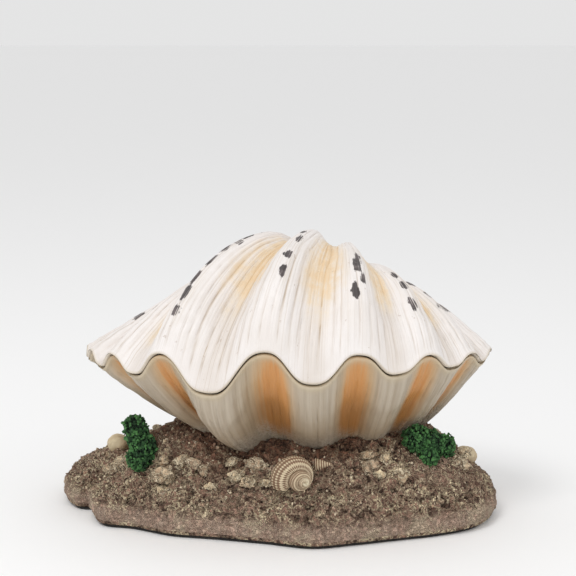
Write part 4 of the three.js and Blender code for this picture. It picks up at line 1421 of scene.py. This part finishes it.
def pebbles(settings):
    material = pebble_finish(settings.trim)
    for node, (place, size) in PEBBLES.items():
        piece = ball((0, 0, 0), (1000, 1000, 1000), subdivisions=5)
        for vertex in piece.data.vertices:
            vertex.co *= 1 + 0.10 * noise.noise(vertex.co * 1.3) + 0.025 * noise.noise(vertex.co * 5)
        piece.scale = [c * MM for c in size]
        piece.location = [c * MM for c in place]
        smooth(piece)
        finish(piece, node + "_stone", "base", material, [node])


# ---------------------------------------------------------------- hinge and air line


def valve_core(valve, grow):
    """A closed body that fills a valve up to a skin moved outwards by grow, for trimming what meets it."""
    rows, columns = 48, 240
    angle, along = np.meshgrid(np.linspace(-180, 180, columns), np.linspace(0, 1, rows) ** 1.3)
    skin = valve_points(valve, angle, along, grow, lipped=False)
    floor = np.repeat([[[*SHELL_CENTRE, RIM_HEIGHT]]], columns, axis=1)
    points = np.concatenate([floor, skin])
    points[:, -1] = points[:, 0]
    piece = wrapped_grid(columns - 1, rows)
    bend_grid(piece, points)
    seal(piece, outward=True)
    return piece


def hinge():
    plastic = plastic_finish("Black plastic", (0.022, 0.022, 0.024), 0.38)
    x, y, z = HINGE["x"], HINGE["y"], HINGE["z"]

    def axle(low, high, radius, bevel=0.0):
        return bar(x + low, x + high, radius, (y, z), "X", bevel)

    depth = (y - EARS["radius"], y + EARS["radius"])
    wide = EARS["outer"]
    bracket = block((x - wide, depth[0], EARS["foot"]), (x + wide, depth[1], EARS["web_top"]))
    for side in (-1, 1):
        low, high = sorted((side * EARS["inner"], side * EARS["outer"]))
        ear = block((x + low, depth[0], EARS["foot"]), (x + high, depth[1], z))
        cut(ear, axle(low, high, EARS["radius"]), "UNION")
        cut(bracket, ear, "UNION")
    for across in (-7.0, 0.0, 7.0):
        groove = block((x + across - 2.2, depth[1] - 0.7, 30),
                       (x + across + 2.2, depth[1] + 1, EARS["web_top"] - 3))
        cut(bracket, groove)
    apply_modifier(bracket, "BEVEL", width=0.0004, segments=2, limit_method="ANGLE")
    cut(bracket, axle(-EARS["outer"] - 1, EARS["outer"] + 1, HINGE["pin"] + HINGE["play"]))
    cut(bracket, valve_core(LOWER, 0.1))
    smooth(bracket, 35)
    finish(bracket, "hinge_bracket_moulding", "base", plastic, ["hinge_bracket"])

    half = HINGE["barrel_half"]
    leaf = block((x - half, 11, 56), (x + half, y, 63))
    slope = block((-50, -20, 0), (50, 20, 30))
    slope.rotation_euler = (math.radians(-48), 0, 0)
    slope.location = (x * MM, (y + 2) * MM, (z + 3) * MM)
    settle(slope)
    cut(leaf, slope)
    cut(leaf, axle(-half, half, HINGE["barrel"]), "UNION")
    apply_modifier(leaf, "BEVEL", width=0.0004, segments=2, limit_method="ANGLE")
    cut(leaf, axle(-half - 1, half + 1, HINGE["pin"] + HINGE["play"]))
    cut(leaf, valve_core(UPPER, 0.1))
    smooth(leaf, 35)
    finish(leaf, "hinge_knuckle_moulding", "lid", plastic, ["hinge_knuckle"])

    low, high = (corner / MM for corner in (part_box("hinge_pin")[0][0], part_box("hinge_pin")[1][0]))
    pin = bar(low, high, HINGE["pin"], (y, z), "X", 0.25)
    smooth(pin, 35)
    finish(pin, "hinge_pin_rod", "base", steel_finish(), ["hinge_pin"])
    for node in ("pin_cap_left", "pin_cap_right"):
        low, high = (corner[0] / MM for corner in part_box(node))
        cap = bar(low, high, HINGE["cap"], (y, z), "X", 0.7)
        end = x + HINGE["cap_reach"] * (1 if node == "pin_cap_right" else -1)
        cut(cap, bar(*sorted((x, end)), HINGE["pin"] + 0.02, (y, z)))
        smooth(cap, 35)
        finish(cap, node + "_moulding", "base", plastic, [node])


def air_line():
    clear = plastic_finish("Clear plastic", (0.62, 0.68, 0.68), 0.22, transmission=0.35)
    barb = [(0.9, -10), (1.7, -10), (1.7, 0), (4.7, 0), (5.0, 0.3), (5.0, 1.7), (4.7, 2.0), (2.6, 2.0),
            (2.6, 3.1)]
    for i in range(3):
        barb += [(1.9, 3.1 + 2.8 * i), (2.5, 3.7 + 2.8 * i), (2.35, 4.2 + 2.8 * i)]
    barb += [(1.9, 11.5), (0.9, 11.5)]
    piece = turned(barb)
    piece.rotation_euler = (-math.pi / 2, 0, 0)
    piece.location = (AIR["x"] * MM, AIR["wall_y"] * MM, AIR["z"] * MM)
    smooth(piece, 35)
    finish(piece, "inlet_barb_moulding", "base", clear, ["inlet_barb"])

    holder = [(0.9, -9), (1.7, -9), (1.7, 0), (5.3, 0), (5.5, 0.2), (5.5, 1.4), (5.3, 1.6), (1.7, 2.2),
              (1.7, 6), (0.9, 6)]
    piece = turned(holder)
    piece.location = (AIR["x"] * MM, AIR["riser_y"] * MM, AIR["holder"] * MM)
    smooth(piece, 35)
    finish(piece, "stone_holder_moulding", "base", clear, ["stone_holder"])

    corner = np.array([AIR["x"], AIR["riser_y"], AIR["z"]])
    t = np.linspace(0, 1, 40)[:, None]
    start, end = corner + (0, AIR["bend"], 0), corner + (0, 0, AIR["bend"])
    curve = (1 - t) ** 2 * start + 2 * t * (1 - t) * corner + t**2 * end
    path = np.concatenate([[corner + (0, 36.2, 0)], curve, [corner + (0, 0, 21.0)]])
    along = np.gradient(path, axis=0)
    along /= np.linalg.norm(along, axis=1, keepdims=True)
    across = np.repeat([[1.0, 0.0, 0.0]], len(path), axis=0)
    frames = np.stack([across, np.cross(along, across)], axis=1)
    a = np.linspace(0, TAU, 33)
    circle = np.stack([np.cos(a), np.sin(a)], axis=-1)
    rings = circle[None, :, :1] * frames[:, None, 0] + circle[None, :, 1:] * frames[:, None, 1]
    wall = [path[:, None] + radius * rings for radius in (AIR["tube"], AIR["bore"])]
    points = np.concatenate([wall[0], wall[1][::-1], wall[0][:1]])
    piece = wrapped_grid(points.shape[1] - 1, points.shape[0] - 1)
    bend_grid(piece, points)
    seal(piece, outward=True)
    smooth(piece, 40)
    silicone = plastic_finish("Silicone", (0.72, 0.75, 0.75), 0.3)
    finish(piece, "air_tube_silicone", "base", silicone, ["air_tube"])

    low, high = (np.array(corner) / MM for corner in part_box("air_stone"))
    heights = np.linspace(0.6, high[2] - low[2] - 0.6, 60)
    outside = [(4.4, 0.0), *((5.0, h) for h in heights), (4.4, high[2] - low[2])]
    piece = turned([(0, 5.0), (2.05, 5.0), (2.05, 0.0), *outside, (0, high[2] - low[2])], 96)
    for vertex in piece.data.vertices:
        if vertex.co.xy.length > 0.003:
            vertex.co -= vertex.normal * 0.00035 * (0.5 + 0.5 * noise.noise(vertex.co * 1500))
    piece.location = (AIR["x"] * MM, AIR["riser_y"] * MM, low[2] * MM)
    smooth(piece, 60)
    finish(piece, "air_stone_grit", "base", stone_finish(), ["air_stone"])


def foam_sheet():
    """The dark foam sheet glued under the casting."""
    count = 300
    deselect_all()
    bpy.ops.mesh.primitive_circle_add(vertices=count, radius=1, fill_type="NGON")
    piece = bpy.context.object
    ring = outline_at(np.arange(count) / count) * PAD_INSET * MM
    for vertex, (x, y) in zip(piece.data.vertices, ring):
        vertex.co = (x, y, 0)
    bpy.ops.object.mode_set(mode="EDIT")
    bpy.ops.mesh.select_all(action="SELECT")
    bpy.ops.mesh.extrude_region_move(TRANSFORM_OT_translate={"value": (0, 0, PAD_HEIGHT * MM)})
    bpy.ops.object.mode_set(mode="OBJECT")
    seal(piece, 1e-6, outward=True)
    apply_modifier(piece, "BEVEL", width=0.0002, segments=2, limit_method="ANGLE")
    smooth(piece, 35)
    foam = plastic_finish("Foam", (0.028, 0.026, 0.025), 0.85, 900.0)
    finish(piece, "base_pad_sheet", "base", foam, ["base_pad"])


# ---------------------------------------------------------------- stage


def stage(settings):
    values = settings.stage
    deselect_all()
    bpy.ops.mesh.primitive_plane_add(size=40.0, location=(0, 0, 0))
    floor = bpy.context.object
    floor.name = "floor"
    material = new_material("Floor", Base_Color=(*values.floor, 1.0), Roughness=0.9)[0]
    floor.data.materials.append(material)

    world = bpy.data.worlds.new("Studio")
    world.use_nodes = True
    world.node_tree.nodes["Background"].inputs["Color"].default_value = (1.0, 1.0, 1.0, 1.0)
    world.node_tree.nodes["Background"].inputs["Strength"].default_value = 0.78
    bpy.context.scene.world = world

    lights = [("key", (-0.35, -0.55, 0.85), 0.35, values.key), ("fill", (0.7, -0.6, 0.45), 0.6, values.fill)]
    for name, place, size, power in lights:
        deselect_all()
        bpy.ops.object.light_add(type="AREA", location=place)
        lamp = bpy.context.object
        lamp.name = name
        lamp.data.size = size
        lamp.data.energy = power
        lamp.rotation_euler = (Vector((0, 0, 0.05)) - Vector(place)).to_track_quat("-Z", "Y").to_euler()

    deselect_all()
    bpy.ops.object.camera_add(location=(0.0, -0.5331, 0.1593))
    camera = bpy.context.object
    aim = Vector((0.0037, 0.0, 0.0745))
    camera.rotation_euler = (aim - camera.location).to_track_quat("-Z", "Y").to_euler()
    camera.data.lens = values.lens
    camera.data.clip_start = 0.01
    scene = bpy.context.scene
    scene.camera = camera
    scene.view_settings.view_transform = "Standard"


# ---------------------------------------------------------------- operators and panel


class ClamOperator:
    """Runs one making function with the scene's settings."""

    bl_options = {"REGISTER", "UNDO"}

    def execute(self, context):
        self.build(context.scene.clam)
        return {"FINISHED"}


class CLAM_OT_stage(ClamOperator, bpy.types.Operator):
    """Add the floor, the lights and the camera"""

    bl_idname = "clam.stage"
    bl_label = "Stage"

    def build(self, settings):
        stage(settings)


class CLAM_OT_upper_valve(ClamOperator, bpy.types.Operator):
    """Add the upper valve, which opens"""

    bl_idname = "clam.upper_valve"
    bl_label = "Upper Valve"

    def build(self, settings):
        upper_valve(settings)


class CLAM_OT_lower_valve(ClamOperator, bpy.types.Operator):
    """Add the lower valve"""

    bl_idname = "clam.lower_valve"
    bl_label = "Lower Valve"

    def build(self, settings):
        lower_valve(settings)


class CLAM_OT_flesh(ClamOperator, bpy.types.Operator):
    """Add the mantle and the pearl inside the lower valve"""

    bl_idname = "clam.flesh"
    bl_label = "Mantle and Pearl"

    def build(self, settings):
        mantle(settings)
        pearl()


class CLAM_OT_base(ClamOperator, bpy.types.Operator):
    """Add the cast sand base"""

    bl_idname = "clam.base"
    bl_label = "Sand Base"

    def build(self, settings):
        sand_base(settings)


class CLAM_OT_foam_sheet(ClamOperator, bpy.types.Operator):
    """Add the foam sheet under the base"""

    bl_idname = "clam.foam_sheet"
    bl_label = "Foam Sheet"

    def build(self, settings):
        foam_sheet()


class CLAM_OT_rubble(ClamOperator, bpy.types.Operator):
    """Add rock chips and loose grains to the base"""

    bl_idname = "clam.rubble"
    bl_label = "Rubble"

    def build(self, settings):
        rubble(settings)


class CLAM_OT_moss(ClamOperator, bpy.types.Operator):
    """Add the two clumps of moss"""

    bl_idname = "clam.moss"
    bl_label = "Moss"

    def build(self, settings):
        moss(settings)


class CLAM_OT_shells(ClamOperator, bpy.types.Operator):
    """Add the turban snail and the cone shell"""

    bl_idname = "clam.shells"
    bl_label = "Snail and Cone"

    def build(self, settings):
        snail(settings)
        cone(settings)


class CLAM_OT_pebbles(ClamOperator, bpy.types.Operator):
    """Add the two pebbles"""

    bl_idname = "clam.pebbles"
    bl_label = "Pebbles"

    def build(self, settings):
        pebbles(settings)


class CLAM_OT_hinge(ClamOperator, bpy.types.Operator):
    """Add the hinge at the back"""

    bl_idname = "clam.hinge"
    bl_label = "Hinge"

    def build(self, settings):
        hinge()


class CLAM_OT_air_line(ClamOperator, bpy.types.Operator):
    """Add the inlet, the tube, the bubble stone and its holder"""

    bl_idname = "clam.air_line"
    bl_label = "Air Line"

    def build(self, settings):
        air_line()


OPERATORS = [CLAM_OT_stage, CLAM_OT_upper_valve, CLAM_OT_lower_valve, CLAM_OT_flesh, CLAM_OT_base,
             CLAM_OT_foam_sheet, CLAM_OT_rubble, CLAM_OT_moss, CLAM_OT_shells, CLAM_OT_pebbles, CLAM_OT_hinge,
             CLAM_OT_air_line]


class CLAM_PT_panel(bpy.types.Panel):
    bl_label = "Bubbling Clam"
    bl_idname = "CLAM_PT_panel"
    bl_space_type = "VIEW_3D"
    bl_region_type = "UI"
    bl_category = "Clam"

    def draw(self, context):
        for operator in OPERATORS:
            self.layout.operator(operator.bl_idname)
        for group in (context.scene.clam.shell, context.scene.clam.base, context.scene.clam.trim,
                      context.scene.clam.stage):
            column = self.layout.column(align=True)
            for key in group.__annotations__:
                column.prop(group, key)


CLASSES = [ClamShellSettings, ClamBaseSettings, ClamTrimSettings, ClamStageSettings, ClamSettings,
           *OPERATORS, CLAM_PT_panel]


def register():
    for item in CLASSES:
        bpy.utils.register_class(item)
    bpy.types.Scene.clam = PointerProperty(type=ClamSettings)


def unregister():
    del bpy.types.Scene.clam
    for item in reversed(CLASSES):
        bpy.utils.unregister_class(item)


def main():
    register()
    for operator in OPERATORS:
        group, name = operator.bl_idname.split(".")
        getattr(getattr(bpy.ops, group), name)()


if __name__ == "__main__":
    main()
